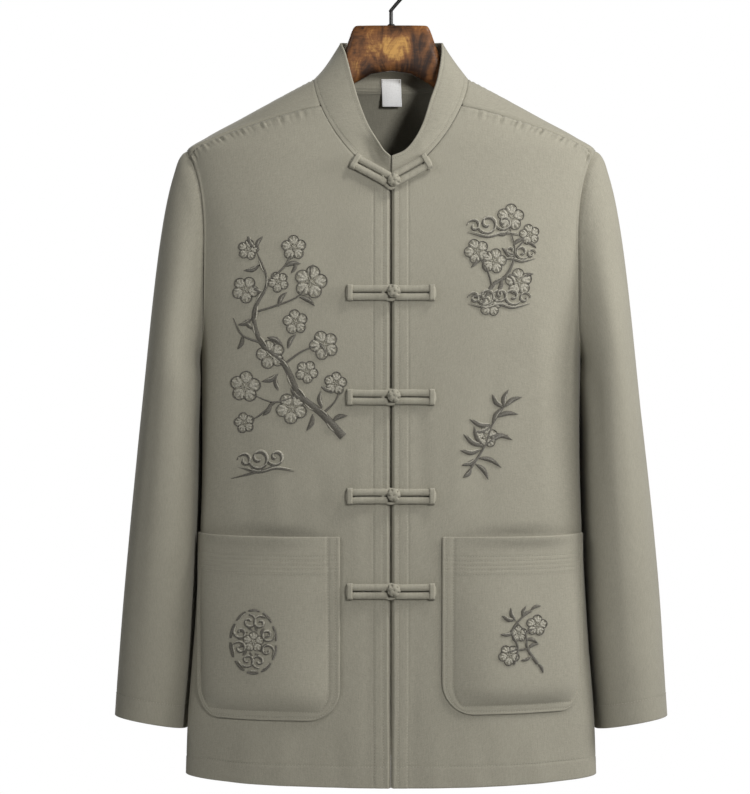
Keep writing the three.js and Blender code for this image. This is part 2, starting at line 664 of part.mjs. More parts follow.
// A cord knot: a ball whose surface shows the lobes of its woven turns.
function knot(level) {
  const rings = 7;
  const around = 10;
  const middle = onFront(0.01, level, LIFT / 2 + KNOT_RADIUS * cos(PI / 14), LEFT);
  middle.x = 0;
  const position = [];
  const index = [];
  const pole = (s) => position.push(middle.x, middle.y, middle.z + s * KNOT_RADIUS);
  pole(1);
  for (let j = 1; j < rings; j++)
    for (let i = 0; i < around; i++) {
      const down = (j / rings) * PI;
      const turn = (i / around) * 2 * PI;
      const r = KNOT_RADIUS + KNOT_LOBE * cos(5 * turn) * sin(2 * down);
      position.push(
        middle.x + r * sin(down) * cos(turn),
        middle.y + r * sin(down) * sin(turn),
        middle.z + r * cos(down),
      );
    }
  pole(-1);
  const at = (j, i) => 1 + (j - 1) * around + (i % around);
  const bottom = 1 + (rings - 1) * around;
  for (let i = 0; i < around; i++) {
    index.push(0, at(1, i), at(1, i + 1));
    index.push(bottom, at(rings - 1, i + 1), at(rings - 1, i));
    for (let j = 1; j < rings - 1; j++)
      index.push(at(j, i), at(j + 1, i), at(j + 1, i + 1), at(j, i), at(j + 1, i + 1), at(j, i + 1));
  }
  return solid(position, index);
}

// The label hangs from the inside of the collar, its lower end standing a little off the back.
function label() {
  const rows = steps(4).map((v) =>
    steps(4).map((u) => {
      const x = mix(-0.5, 0.5, u) * LABEL.width;
      const bow = 1.2 * (1 - (2 * u - 1) ** 2) * v;
      return vec(x + 1.2 * v, LABEL.y - bow - 0.8 * v, LABEL.topZ - v * LABEL.height);
    }),
  );
  const normals = rows.map((row) => row.map(() => vec(0, -1, 0)));
  return wall(rows, normals, LABEL.thick);
}

function hanger() {
  const arm = HANGER_ARM.map(({ x, clear, height, half }) => {
    const slope = ridgeZ(x - 2) - ridgeZ(x + 2);
    const top = ridgeZ(x) - (CLOTH + clear) * hypot(1, slope / 4);
    return { x, top, bottom: top - height, half };
  });
  const side = [...HANGER_NECK, ...arm];
  const sections = [...side.slice(1).reverse().map((s) => ({ ...s, x: -s.x })), ...side];
  const outline = steps(14).slice(1);
  const points = sections.map(({ x, top, bottom, half }) => ({
    at: vec(x, 2, (top + bottom) / 2),
    across: vec(0, half, 0),
    up: vec(0, 0, (top - bottom) / 2),
  }));
  const section = outline.map((t) => {
    const r = roundness(2 * PI * t, 2.1);
    return [r * cos(2 * PI * t), r * sin(2 * PI * t)];
  });
  return bar(points, section);
}

function hook() {
  const centre = -HOOK_RADIUS + WIRE / 2;
  const path = [];
  for (const t of steps(2)) path.push(vec(0, 2, mix(WOOD_TOP - 0.2, HOOK_STEM_TOP, t)));
  for (const t of steps(20)) {
    const turn = mix(-0.28 * PI, 1.16 * PI, t);
    path.push(vec(HOOK_RADIUS * cos(turn), 2, centre + HOOK_RADIUS * sin(turn)));
  }
  const curve = new THREE.CatmullRomCurve3(path, false, "centripetal");
  const count = 36;
  const points = steps(count).map((t) => {
    const along = curve.getTangentAt(t);
    return { at: curve.getPointAt(t), across: vec(0, 1, 0), up: vec(0, 1, 0).cross(along).normalize() };
  });
  return bar(points, oval(WIRE, WIRE, 8));
}

const cloth = new THREE.MeshStandardMaterial({ color: 0x97927f, roughness: 0.85, metalness: 0 });
const wood = new THREE.MeshStandardMaterial({ color: 0x8a5f36, roughness: 0.45, metalness: 0 });
const steel = new THREE.MeshStandardMaterial({ color: 0x2b2a28, roughness: 0.35, metalness: 0.9 });
const white = new THREE.MeshStandardMaterial({ color: 0xf4f3f0, roughness: 0.8, metalness: 0 });

const jacket = new THREE.Group();
function add(name, geometry, material) {
  const mesh = new THREE.Mesh(geometry, material);
  mesh.name = name;
  jacket.add(mesh);
}

add("front_left", frontPanel(LEFT), cloth);
add("front_right", frontPanel(RIGHT), cloth);
add("back", backPanel(), cloth);
add("sleeve_left", sleeve(LEFT), cloth);
add("sleeve_right", sleeve(RIGHT), cloth);
add("collar", collar(), cloth);
add("pocket_left", pocket(POCKETS.left), cloth);
add("pocket_right", pocket(POCKETS.right), cloth);

const knotEdge = KNOT_RADIUS + KNOT_LOBE + LIFT;
const collarSlope = Math.atan2(COLLAR_FROG.endZ - COLLAR_FROG.knotZ, COLLAR_FROG.endX);
const frogs = [
  { level: COLLAR_FROG.knotZ, slope: collarSlope, lift: COLLAR_FROG.lift },
  ...FROG_LEVELS.map((level) => ({ level, slope: 0, lift: 0 })),
];
frogs.forEach((frog, i) => {
  add(`frog_loop_${i + 1}`, frogCord(frogPlace(RIGHT, frog), knotEdge, FROG_REACH), cloth);
  add(`frog_strip_${i + 1}`, frogCord(frogPlace(LEFT, frog), knotEdge, FROG_REACH), cloth);
  add(`frog_knot_${i + 1}`, knot(frog.level), cloth);
});

add("label", label(), white);
add("hanger", hanger(), wood);
add("hook", hook(), steel);

export default jacket;
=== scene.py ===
# A tang suit jacket on a wooden hanger: the looks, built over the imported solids. Sizes below are in millimetres.
import math
import bpy
import numpy as np
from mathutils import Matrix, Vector


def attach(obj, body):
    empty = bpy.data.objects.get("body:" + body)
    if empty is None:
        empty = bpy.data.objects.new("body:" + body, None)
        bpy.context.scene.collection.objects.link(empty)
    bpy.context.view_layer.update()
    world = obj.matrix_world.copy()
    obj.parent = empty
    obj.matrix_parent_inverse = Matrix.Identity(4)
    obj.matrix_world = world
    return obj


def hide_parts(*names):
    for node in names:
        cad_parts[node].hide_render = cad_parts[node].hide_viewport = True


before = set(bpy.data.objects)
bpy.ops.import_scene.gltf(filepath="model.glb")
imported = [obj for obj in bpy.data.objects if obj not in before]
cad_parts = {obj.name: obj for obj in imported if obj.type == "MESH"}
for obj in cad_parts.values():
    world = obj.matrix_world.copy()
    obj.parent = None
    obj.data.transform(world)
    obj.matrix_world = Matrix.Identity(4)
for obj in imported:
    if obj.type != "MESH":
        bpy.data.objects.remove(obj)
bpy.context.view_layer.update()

PI = math.pi
LEFT, RIGHT = 1, -1

# ---------------------------------------------------------------- camera
# A long lens 2.8 m in front of the hanger, a little below the shoulders, turned to the photograph's framing.
PX_PER_RADIAN, PICTURE_HEIGHT, SENSOR = 2593.0, 794.0, 36.0
CAMERA_PLACE, CAMERA_DROP, CAMERA_TURN = (0.0, -2.8, -0.357), 2.142, 0.3535
camera_data = bpy.data.cameras.new("camera")
camera_data.sensor_width = SENSOR
camera_data.lens = SENSOR * PX_PER_RADIAN / PICTURE_HEIGHT
camera = bpy.data.objects.new("camera", camera_data)
bpy.context.scene.collection.objects.link(camera)
camera.location = CAMERA_PLACE
camera.rotation_euler = (math.radians(90.0 - CAMERA_DROP), 0.0, math.radians(CAMERA_TURN))
bpy.context.scene.camera = camera


# ---------------------------------------------------------------- small tools
class Table:
    """Columns of numbers over a key, on a smooth curve through the rows that never overshoots them."""

    def __init__(self, rows):
        data = np.array(rows, float)
        order = np.argsort(data[:, 0])
        self.k, self.v = data[order, 0], data[order, 1:]
        rise = np.diff(self.v, axis=0) / np.diff(self.k)[:, None]
        slope = np.zeros_like(self.v)
        slope[0], slope[-1] = rise[0], rise[-1]
        a, b = rise[:-1], rise[1:]
        same = a * b > 0
        slope[1:-1] = np.where(same, 2 * a * b / np.where(same, a + b, 1), 0)
        self.slope = slope

    def __call__(self, at):
        at = np.asarray(at, float)
        i = np.clip(np.searchsorted(self.k, at, side="right") - 1, 0, len(self.k) - 2)
        h = self.k[i + 1] - self.k[i]
        t = np.clip((at - self.k[i]) / h, 0, 1)[..., None]
        h = h[..., None]
        found = (
            (1 + 2 * t) * (1 - t) ** 2 * self.v[i]
            + t * (1 - t) ** 2 * h * self.slope[i]
            + t * t * (3 - 2 * t) * self.v[i + 1]
            + t * t * (t - 1) * h * self.slope[i + 1]
        )
        return [found[..., c] for c in range(self.v.shape[1])]


def mix(a, b, t):
    return a + (b - a) * t


def smooth(t):
    s = np.clip(t, 0, 1)
    return s * s * (3 - 2 * s)


def bell(d, width):
    return np.exp(-((d / width) ** 2))


def unit(v):
    return v / np.maximum(np.linalg.norm(v, axis=-1, keepdims=True), 1e-9)


def roundness(angle, exponent):
    return (np.abs(np.sin(angle)) ** exponent + np.abs(np.cos(angle)) ** exponent) ** (-1 / exponent)


def points(x, y, z):
    return np.stack(np.broadcast_arrays(np.asarray(x, float), y, z), axis=-1)


# ---------------------------------------------------------------- the jacket's forms, as in its solids
CLOTH = 1.4
FRONT_GAP, ROLL_DEPTH, ROLL_WIDTH = 0.8, 3.4, 1.5
LIFT = 0.3
NECK_SIDE_Z, NECK_FRONT_Z, NECK_BACK_Z = -119.5, -228.0, -130.0
SHOULDER_Z, UNDERARM_Z, HEM_Z, HEM_RISE = -197.0, -425.0, -868.0, 4.0
NECK_HALF, NECK_CURVE = 83.0, 1.5
SEAM_NECK, SEAM_SHOULDER = 32.0, 16.0
ARMHOLE_DEPTH, ARMHOLE_CURVE, ARMHOLE_EGG = 43.5, 2.3, 0.25

# level, half width, depth in front, depth behind, exponent of the ring, side fold
BODY = Table([
    (-119.5, 83, 21, 40, 2.2, 0), (-141, 123, 32, 52, 2.2, 0), (-163, 163, 42, 60, 2.2, 0),
    (-182, 198, 49, 65, 2.3, 0), (-197, 219, 53.5, 68.5, 2.4, 0), (-228, 217, 61, 74, 2.6, 0),
    (-270, 214, 71, 80, 2.8, 0), (-346, 211, 84, 87, 3.0, 0), (-425, 204.5, 90, 92, 3.0, 2),
    (-551, 208.5, 95, 96, 2.8, 20), (-700, 218.5, 98, 99, 2.6, 26), (-816, 229, 100, 101, 2.4, 24),
    (-868, 231.5, 101, 102, 2.3, 22),
])
TUCK_SPREAD = 0.24  # radians round the side fold
# side, angle, depth, spread, level where it starts
BODY_FOLDS = [
    (1, 24, 1.8, 8, -560), (1, 47, -2.2, 9, -430), (-1, 20, -1.6, 8, -600), (-1, 40, 2.0, 8, -520),
    (1, 118, 4.5, 8, -330), (1, 140, -5, 8, -300), (1, 161, 4, 7, -380),
    (-1, 122, 4, 8, -360), (-1, 146, -5.5, 9, -280), (-1, 168, 3.5, 7, -420),
]
# level, outer side, inner side, depth in front, depth behind, tilt, nod
SLEEVE = Table([
    (-445, 265, 206, 78, 76, 0.1, 0), (-520, 273, 205, 74, 74, 0.12, 0.02), (-600, 281.5, 206.5, 70, 67, 0.14, 0.04),
    (-700, 291, 210.5, 64, 58, 0.16, 0.07), (-813, 299, 221, 57, 50, 0.18, 0.1),
])
SLEEVE_CURVE, CAP_ROUND, CAP_END, CUFF = 2.2, 0.37, -445.0, -813.0
# share of the half collar, distance from the centre on the left and on the right, y, z
RIM = Table([
    (0, 1.2, 1.2, -59.5, -205), (0.08, 14, 8, -58, -199.5), (0.18, 25, 16, -54, -187), (0.3, 34.5, 26, -46.5, -168),
    (0.42, 42, 35, -37, -144), (0.52, 50, 42, -26, -120), (0.62, 55, 50, -10, -91), (0.7, 55.5, 54.5, 5, -80.5),
    (0.84, 38, 38, 30, -79), (1, 0, 0, 39, -79),
])


def body_ring(angle, z):
    half, front, back, square, tuck = BODY(z)
    r = roundness(angle, square)
    depth = np.where(angle < PI / 2, front, back)
    return half * r * np.sin(angle), -depth * r * np.cos(angle), tuck


def body_point(angle, z, side):
    x, y, tuck = body_ring(angle, z)
    inward = tuck * bell(angle - PI / 2, TUCK_SPREAD)
    fold = 0
    for s, at, depth, spread, top in BODY_FOLDS:
        if s == side:
            share = smooth((top - z) / (top - HEM_Z))
            fold = fold + depth * bell(angle - math.radians(at), math.radians(spread)) * share
    return points(side * (x - inward + fold * np.sin(angle) * 0.4), y - fold * np.cos(angle), z)


def body_normal(angle, z, side):
    e, dz = 0.004, 0.8
    around = body_point(angle + e, z, side) - body_point(angle - e, z, side)
    down = body_point(angle, z - dz, side) - body_point(angle, z + dz, side)
    return unit(np.cross(down, around) * side)


def angle_at_x(x, z):
    half, _, _, square, _ = BODY(z)
    q = (np.abs(x) / half) ** square
    with np.errstate(divide="ignore"):
        return np.arctan((q / np.maximum(0, 1 - q)) ** (1 / square))


def angle_at_y(y, z):
    half, front, back, square, _ = BODY(z)
    depth = np.where(y < 0, front, back)
    ratio = depth / np.maximum(np.abs(y), 1e-6)
    a = np.arctan(np.maximum(0, ratio ** square - 1) ** (1 / square))
    return np.where(y < 0, a, PI - a)


def front_neck(turn):
    r = roundness(turn, NECK_CURVE)
    z = NECK_SIDE_Z - (NECK_SIDE_Z - NECK_FRONT_Z) * r * np.cos(turn)
    return angle_at_x(NECK_HALF * r * np.sin(turn), z), z


def back_neck(turn):
    z = mix(NECK_SIDE_Z, NECK_BACK_Z, smooth(np.sin(turn)))
    return PI - angle_at_x(NECK_HALF * np.cos(turn), z), z


def armhole(turn):
    r = roundness(turn, ARMHOLE_CURVE)
    middle = (SHOULDER_Z + UNDERARM_Z) / 2
    z = middle + ((SHOULDER_Z - UNDERARM_Z) / 2) * r * np.cos(turn)
    return angle_at_y(-ARMHOLE_DEPTH * r * np.sin(turn) * (1 - ARMHOLE_EGG * np.cos(turn)), z), z


def turn_at_depth(curve, low, high, depth):
    for _ in range(40):
        middle = (low + high) / 2
        angle, z = curve(np.array(middle))
        if -body_point(angle, z, LEFT)[1] < depth:
            low = middle
        else:
            high = middle
    return (low + high) / 2


SEAM_NECK_TURN = turn_at_depth(front_neck, PI / 2, 0.0, SEAM_NECK)
SEAM_ARM_TURN = turn_at_depth(armhole, 0.0, PI / 2, SEAM_SHOULDER)
ARM_SHARE, NECK_SHARE, SIDE_PULL, CHART_CURVE = 0.42, 0.42, 2, 2.8
# in the back, the columns between these shares lean over evenly, from this share of the height down
NECK_LEAN = (0.33, 0.52, 0.08)


def shoulder_seam(t):
    z = mix(front_neck(np.array(SEAM_NECK_TURN))[1], armhole(np.array(SEAM_ARM_TURN))[1], t)
    return angle_at_y(-mix(SEAM_NECK, SEAM_SHOULDER, t), z), z


def pick(choose, a, b):
    return np.where(choose, a[0], b[0]), np.where(choose, a[1], b[1])


def top_edge(is_back, u):
    seam = shoulder_seam(np.clip((u - NECK_SHARE) / (1 - NECK_SHARE), 0, 1))
    t = np.clip(u / NECK_SHARE, 0, 1)
    if is_back:
        turn = mix(PI / 2, -(PI / 2 - SEAM_NECK_TURN), t)
        neck = pick(turn > 0, back_neck(np.maximum(turn, 0)), front_neck(PI / 2 + np.minimum(turn, 0)))
    else:
        neck = front_neck(t * SEAM_NECK_TURN)
    return pick(u > NECK_SHARE, seam, neck)


def side_edge(is_back, v):
    t = np.clip((v - ARM_SHARE) / (1 - ARM_SHARE), 0, 1)
    low = (np.full_like(t, PI / 2), mix(UNDERARM_Z, HEM_Z + HEM_RISE, t))
    arm = armhole(mix(SEAM_ARM_TURN, -PI if is_back else PI, np.clip(v / ARM_SHARE, 0, 1)))
    return pick(v > ARM_SHARE, low, arm)


RIDGE_Z = np.linspace(SHOULDER_Z, NECK_SIDE_Z, 1500)
RIDGE_HALF = BODY(RIDGE_Z)[0]


def ridge_z(x):
    return np.interp(x, RIDGE_HALF[::-1], RIDGE_Z[::-1])


def width_at(z):
    return BODY(np.minimum(z, SHOULDER_Z))[0]


def to_chart(spot, is_back):
    angle, z = spot
    x, y, _ = body_ring(angle, z)
    way = np.where(np.abs(angle - PI / 2) < 1e-9, 1 if is_back else -1, np.sign(angle - PI / 2))
    q = np.minimum(1, x / width_at(z)) ** CHART_CURVE
    with np.errstate(divide="ignore"):
        turn = np.arctan((q / np.maximum(0, 1 - q)) ** (1 / CHART_CURVE))
    ridge = ridge_z((x / width_at(z)) * width_at(np.array(SHOULDER_Z)))
    return turn, y + way * (ridge - z)


def from_chart(turn, reach):
    share = roundness(turn, CHART_CURVE) * np.sin(turn)
    high = ridge_z(share * width_at(np.array(SHOULDER_Z)))
    ridge, low = high, np.full_like(high, HEM_Z - 1)
    behind = reach > 0

    def angle_of(z):
        a = angle_at_x(share * width_at(z), z)
        return np.where(behind, PI - a, a)

    for _ in range(30):
        z = (low + high) / 2
        short = np.abs(body_ring(angle_of(z), z)[1]) + ridge - z < np.abs(reach)
        high, low = np.where(short, z, high), np.where(short, low, z)
    return angle_of(low), low


def hem_edge(is_back, u):
    angle = mix(PI if is_back else 0.0, PI / 2, u)
    return angle, HEM_Z + HEM_RISE * np.sin(angle) ** 2


def panel_spots(is_back, us, vs):
    u, v = np.meshgrid(us, vs)
    one = np.ones_like(u)
    edges = (top_edge, u), (hem_edge, u), (side_edge, v), (top_edge, one), (hem_edge, one)
    blend = []
    for top, hem, side, corner, low_corner in zip(*(to_chart(edge(is_back, at), is_back) for edge, at in edges)):
        blend.append(mix(top, hem, v) + u ** SIDE_PULL * (side - mix(corner, low_corner, v)))
    if is_back:
        start, end, depth = NECK_LEAN
        top_turn = to_chart(top_edge(is_back, u), is_back)[0]
        even = np.interp(u, (start, end), np.interp((start, end), us, top_turn[0]))
        lean = np.where((u > start) & (u < end), even - top_turn, 0)
        blend[0] = blend[0] + lean * (1 - np.maximum(0, 1 - v / depth) ** 2) * (1 - v)
    spot = from_chart(*blend)
    spot = pick(v == 1, hem_edge(is_back, u), spot)
    spot = pick(v == 0, top_edge(is_back, u), spot)
    return pick(u == 1, side_edge(is_back, v), spot)


# ---------------------------------------------------------------- creases, placed one by one
# Each is a soft trough or ridge over a chord from (x0, z0) to (x1, z1), bowed by bend, with its depth and width.
FRONT_CREASES = {
    LEFT: [
        (30, -420, 38, -640, 3, -0.9, 9), (70, -470, 62, -600, -4, 0.9, 11), (118, -395, 96, -590, 6, -1.3, 13),
        (150, -330, 160, -600, -5, 1.5, 15), (183, -330, 172, -560, 4, -1.1, 9), (52, -800, 44, -890, 2, 1.1, 10),
        (95, -806, 104, -890, -2, -1.2, 11), (150, -800, 163, -890, 3, 1.5, 13), (26, -700, 22, -890, 2, -0.8, 7),
        (188, -245, 150, -330, 8, -1.0, 12), (60, -255, 110, -330, -8, 0.8, 16),
    ],
    RIGHT: [
        (28, -470, 35, -700, -3, 0.8, 9), (80, -520, 70, -610, 3, -0.8, 10), (176, -300, 186, -560, -4, 1.6, 14),
        (160, -470, 150, -620, 4, -1.2, 11), (120, -505, 112, -610, -3, 0.8, 10), (60, -806, 55, -890, 2, -1.1, 10),
        (112, -806, 120, -890, 2, 1.2, 12), (165, -810, 172, -890, -3, -1.3, 11), (22, -640, 27, -890, 2, -0.7, 7),
        (180, -240, 140, -340, -9, 1.0, 14), (50, -262, 92, -345, 8, -0.7, 15),
    ],
}
BACK_CREASES = {
    LEFT: [
        (40, -170, 120, -330, 12, -1.6, 18), (20, -250, 30, -520, 5, 1.5, 16), (150, -300, 120, -520, -8, -2.2, 17),
        (178, -380, 150, -640, 6, 2.0, 13), (80, -420, 90, -700, 4, 1.8, 18), (60, -600, 50, -870, -5, -2.0, 14),
        (130, -520, 142, -870, 5, -2.0, 15), (105, -700, 96, -870, 3, 1.7, 12),
    ],
    RIGHT: [
        (30, -175, 105, -320, 14, -1.4, 17), (60, -300, 48, -560, -5, 1.7, 17), (160, -310, 132, -560, -9, -2.4, 18),
        (185, -420, 165, -700, 6, 1.8, 13), (100, -470, 112, -760, 5, 1.7, 16), (30, -540, 38, -870, 4, -1.7, 13),
        (75, -640, 70, -870, 4, -1.9, 14), (150, -690, 158, -870, -4, 1.6, 12),
    ],
}


def creases(x, z, rows):
    total = np.zeros(np.broadcast(x, z).shape)
    for x0, z0, x1, z1, bend, depth, width in rows:
        length = math.hypot(x1 - x0, z1 - z0)
        ax, az = (x1 - x0) / length, (z1 - z0) / length
        s = ((x - x0) * ax + (z - z0) * az) / length
        off = (x - x0) * az - (z - z0) * ax - bend * 4 * s * (1 - s)
        total += depth * bell(off, width) * np.sin(PI * np.clip(s, 0, 1)) ** 0.8
    return total


HEM_ROW, EDGE_ROWS, CUFF_ROW = 22.0, (7.6, 17.0), 24.0
POCKETS = {
    LEFT: dict(side=LEFT, near=54, far=203, top=-605, bottom=-791),
    RIGHT: dict(side=RIGHT, near=54, far=205, top=-605, bottom=-798),
}


def front_relief(x, z, side):
    """What the front stands proud of its plain form by, at a distance x from the centre line."""
    r = creases(x, z, FRONT_CREASES[side])
    r += 0.25 * (1 - smooth((x - 16.2) / 1.6))
    r -= 0.3 * bell(x - EDGE_ROWS[0], 0.9) + 0.4 * bell(x - EDGE_ROWS[1] - 0.6, 1.0)
    p = POCKETS[side]
    beside = smooth((p["top"] - z) / 4) * smooth((z - p["bottom"] - 20) / 12)
    mouth = bell(x - (p["near"] + p["far"]) / 2 - 6 * side, 44)
    r -= 0.9 * bell(x - p["near"] + 1.6, 1.5) * beside + 4.2 * bell(z - p["top"] + 2, 8) * mouth
    return r + hem_relief(z - HEM_Z)


def hem_relief(above):
    return 0.2 * (1 - smooth((above - HEM_ROW + 1) / 1.8)) - 0.2 * bell(above - HEM_ROW - 0.6, 1.1)


def on_front(x, z, side, lift=0.0):
    """A point of the front's outer face, lifted off it, and its normal. x is the distance from the centre line."""
    x, z = np.broadcast_arrays(np.asarray(x, float), np.asarray(z, float))
    angle = angle_at_x(np.maximum(x, 0.01), z)
    n = body_normal(angle, z, side)
    p = body_point(angle, z, side) + n * (lift + front_relief(x, z, side))[..., None]
    p[..., 0] = np.where(x < 0.02, 0, p[..., 0])
    return p, n


# ---------------------------------------------------------------- meshes
COLLECTION = bpy.context.scene.collection
MM = 0.001
SIDE_NAME = {LEFT: "left", RIGHT: "right"}


def make(name, verts, faces, material, uv=None, slot="cloth", node=None):
    """A piece from points and texture places in millimetres. It stands for a node where one is named."""
    mesh = bpy.data.meshes.new(name)
    mesh.from_pydata((np.asarray(verts, float) * MM).tolist(), [], [list(map(int, f)) for f in faces])
    if uv is not None:
        layer = mesh.uv_layers.new(name="uv")
        index = np.empty(len(mesh.loops), int)
        mesh.loops.foreach_get("vertex_index", index)
        layer.data.foreach_set("uv", (np.asarray(uv, float) * MM)[index].ravel())
    mesh.polygons.foreach_set("use_smooth", [True] * len(mesh.polygons))
    mesh.materials.append(material)
    mesh.validate()
    obj = bpy.data.objects.new(name, mesh)
    COLLECTION.objects.link(obj)
    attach(obj, "root")
    if node:
        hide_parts(node)
    return obj


def arc(grid, axis):
    """Distances run along one axis of a grid of points, from its first row or column."""
    step = np.linalg.norm(np.diff(grid, axis=axis), axis=-1)
    start = np.zeros_like(np.take(step, [0], axis=axis))
    return np.concatenate([start, np.cumsum(step, axis=axis)], axis=axis)


def interp_rows(at, run, rows):
    """Points or normals read off a list of them at distances along it."""
    return np.stack([np.interp(at, run, column) for column in rows.T], axis=-1)


def grid_normals(grid, spot, axis, sign, tube=False):
    """Normals of a grid of points, turned so that the one at a spot points to that side of an axis."""
    if tube:
        around = np.roll(grid, -1, axis=1) - np.roll(grid, 1, axis=1)
    else:
        around = np.gradient(grid, axis=1)
    n = unit(np.cross(around, np.gradient(grid, axis=0)))
    return n if n[spot][axis] * sign >= 0 else -n


def quads(rows, columns, wrap=False):
    """Faces between the points of a grid. Where it wraps, its last column meets the first."""
    index = np.arange(rows * columns).reshape(rows, columns)
    near = np.arange(columns if wrap else columns - 1)
    far = (near + 1) % columns
    corners = index[:-1][:, near], index[:-1][:, far], index[1:][:, far], index[1:][:, near]
    return np.stack(corners, axis=-1).reshape(-1, 4)


def flipped(faces):
    return np.roll(faces[:, ::-1], 1, axis=1)


def edge_loop(rows, columns):
    """The points round the edge of a grid, in order."""
    index = np.arange(rows * columns).reshape(rows, columns)
    return np.concatenate([index[0, :-1], index[:-1, -1], index[-1, :0:-1], index[:0:-1, 0]])


def bar_faces(rings, sides, closed_ends=True):
    faces = quads(rings, sides, wrap=True).tolist()
    if closed_ends:
        faces += [list(range(sides))[::-1], list(range((rings - 1) * sides, rings * sides))]
    return faces


def shell(name, node, grid, normal, thick, material, tube=False, slot="cloth", uv=None):
    """A thin sheet with round edges, from its outer face and the outward normals there."""
    h, w, _ = grid.shape
    outward = np.zeros_like(grid)
    outward[0] += unit(grid[0] - grid[1])
    outward[-1] += unit(grid[-1] - grid[-2])
    if tube:
        loops = [np.arange(w), (h - 1) * w + np.arange(w)[::-1]]
    else:
        outward[:, 0] += unit(grid[:, 0] - grid[:, 1])
        outward[:, -1] += unit(grid[:, -1] - grid[:, -2])
        loops = [edge_loop(h, w)]
    flat, inner = grid.reshape(-1, 3), (grid - normal * thick).reshape(-1, 3)
    middle = (flat + inner) / 2 + unit(outward.reshape(-1, 3)) * thick * 0.4
    if uv is None:
        s = arc(grid, 1)
        uv = np.stack([s - s[:, w // 2:w // 2 + 1], -arc(grid, 0)], axis=-1)
    uv = uv.reshape(-1, 2)
    outer_faces = flipped(quads(h, w, tube))
    verts, uvs, faces = [flat, inner], [uv, uv], [outer_faces, outer_faces[:, ::-1] + h * w]
    base = 2 * h * w
    for loop in loops:
        ring = base + np.arange(len(loop))
        base += len(loop)
        verts.append(middle[loop])
        uvs.append(uv[loop])
        nxt, ring2 = np.roll(loop, -1), np.roll(ring, -1)
        faces.append(np.stack([loop, nxt, ring2, ring], axis=-1))
        faces.append(np.stack([ring, ring2, nxt + h * w, loop + h * w], axis=-1))
    verts, faces = np.concatenate(verts), np.concatenate(faces)
    x = verts[faces]
    volume = sum(np.einsum("ij,ij->i", x[:, 0], np.cross(x[:, k], x[:, k + 1])).sum() for k in (1, 2))
    if volume < 0:
        faces = faces[:, ::-1]
    return make(name, verts, faces, material, np.concatenate(uvs), slot, node)


class Threads:
    """Many small raised stitches, gathered into one mesh."""

    SIZE, FILL, LIFT = 0.42, 0.72, 0.12
    FACES = np.array([(0, 1, 2), (0, 2, 3), (0, 3, 4), (0, 4, 1), (5, 2, 1), (5, 3, 2), (5, 4, 3), (5, 1, 4)])

    def __init__(self):
        self.verts, self.faces, self.count = [], [], 0

    def row(self, path, normal, pitch):
        """Stitches along a fine path."""
        run = arc(path[:, None], 0)[:, 0]
        starts = np.arange(0.4, run[-1] - pitch, pitch)
        n = unit(interp_rows(starts, run, normal))
        start = interp_rows(starts, run, path) + n * self.LIFT
        end = interp_rows(starts + pitch * self.FILL, run, path) + n * self.LIFT
        across, up = unit(np.cross(unit(end - start), n)) * self.SIZE, n * self.SIZE
        middle = (start + end) / 2
        verts = np.stack([start, middle + across, middle + up, middle - across, middle - up * 0.4, end], axis=1)
        base = self.count + 6 * np.arange(len(start))[:, None, None]
        self.verts.append(verts.reshape(-1, 3))
        self.faces.append((base + self.FACES[None]).reshape(-1, 3))
        self.count += 6 * len(start)

    def done(self, name):
        return make(name, np.concatenate(self.verts), np.concatenate(self.faces), STITCH_LOOK)


def tube(path, across, up, section, closed_ends=True):
    """Vertices and faces of a bar of that section carried along a path."""
    verts = path[:, None] + across[:, None] * section[None, :, :1] + up[:, None] * section[None, :, 1:]
    return verts.reshape(-1, 3), bar_faces(len(path), len(section), closed_ends)


def joined_mesh(parts):
    verts, faces, n = [], [], 0
    for v, f in parts:
        verts.append(v)
        faces += [[i + n for i in face] for face in f]
        n += len(v)
    return np.concatenate(verts), faces


def oval(width, thick, sides, exponent=2.4):
    t = np.linspace(0, 2 * PI, sides, endpoint=False)
    r = roundness(t, exponent)
    return np.stack([width / 2 * r * np.cos(t), thick / 2 * r * np.sin(t)], axis=-1)


def curve_through(knots, per):
    """A smooth path through a few points of any dimension."""
    k = np.asarray(knots, float)
    p = np.concatenate([[2 * k[0] - k[1]], k, [2 * k[-1] - k[-2]]])
    t = np.linspace(0, 1, per, endpoint=False)[:, None]
    out = []
    for before, start, end, after in zip(p[:-3], p[1:-2], p[2:-1], p[3:]):
        bend = (2 * before - 5 * start + 4 * end - after) * t ** 2
        out.append(0.5 * (2 * start + (end - before) * t + bend + (3 * start - before - 3 * end + after) * t ** 3))
    return np.concatenate(out + [k[-1:]])


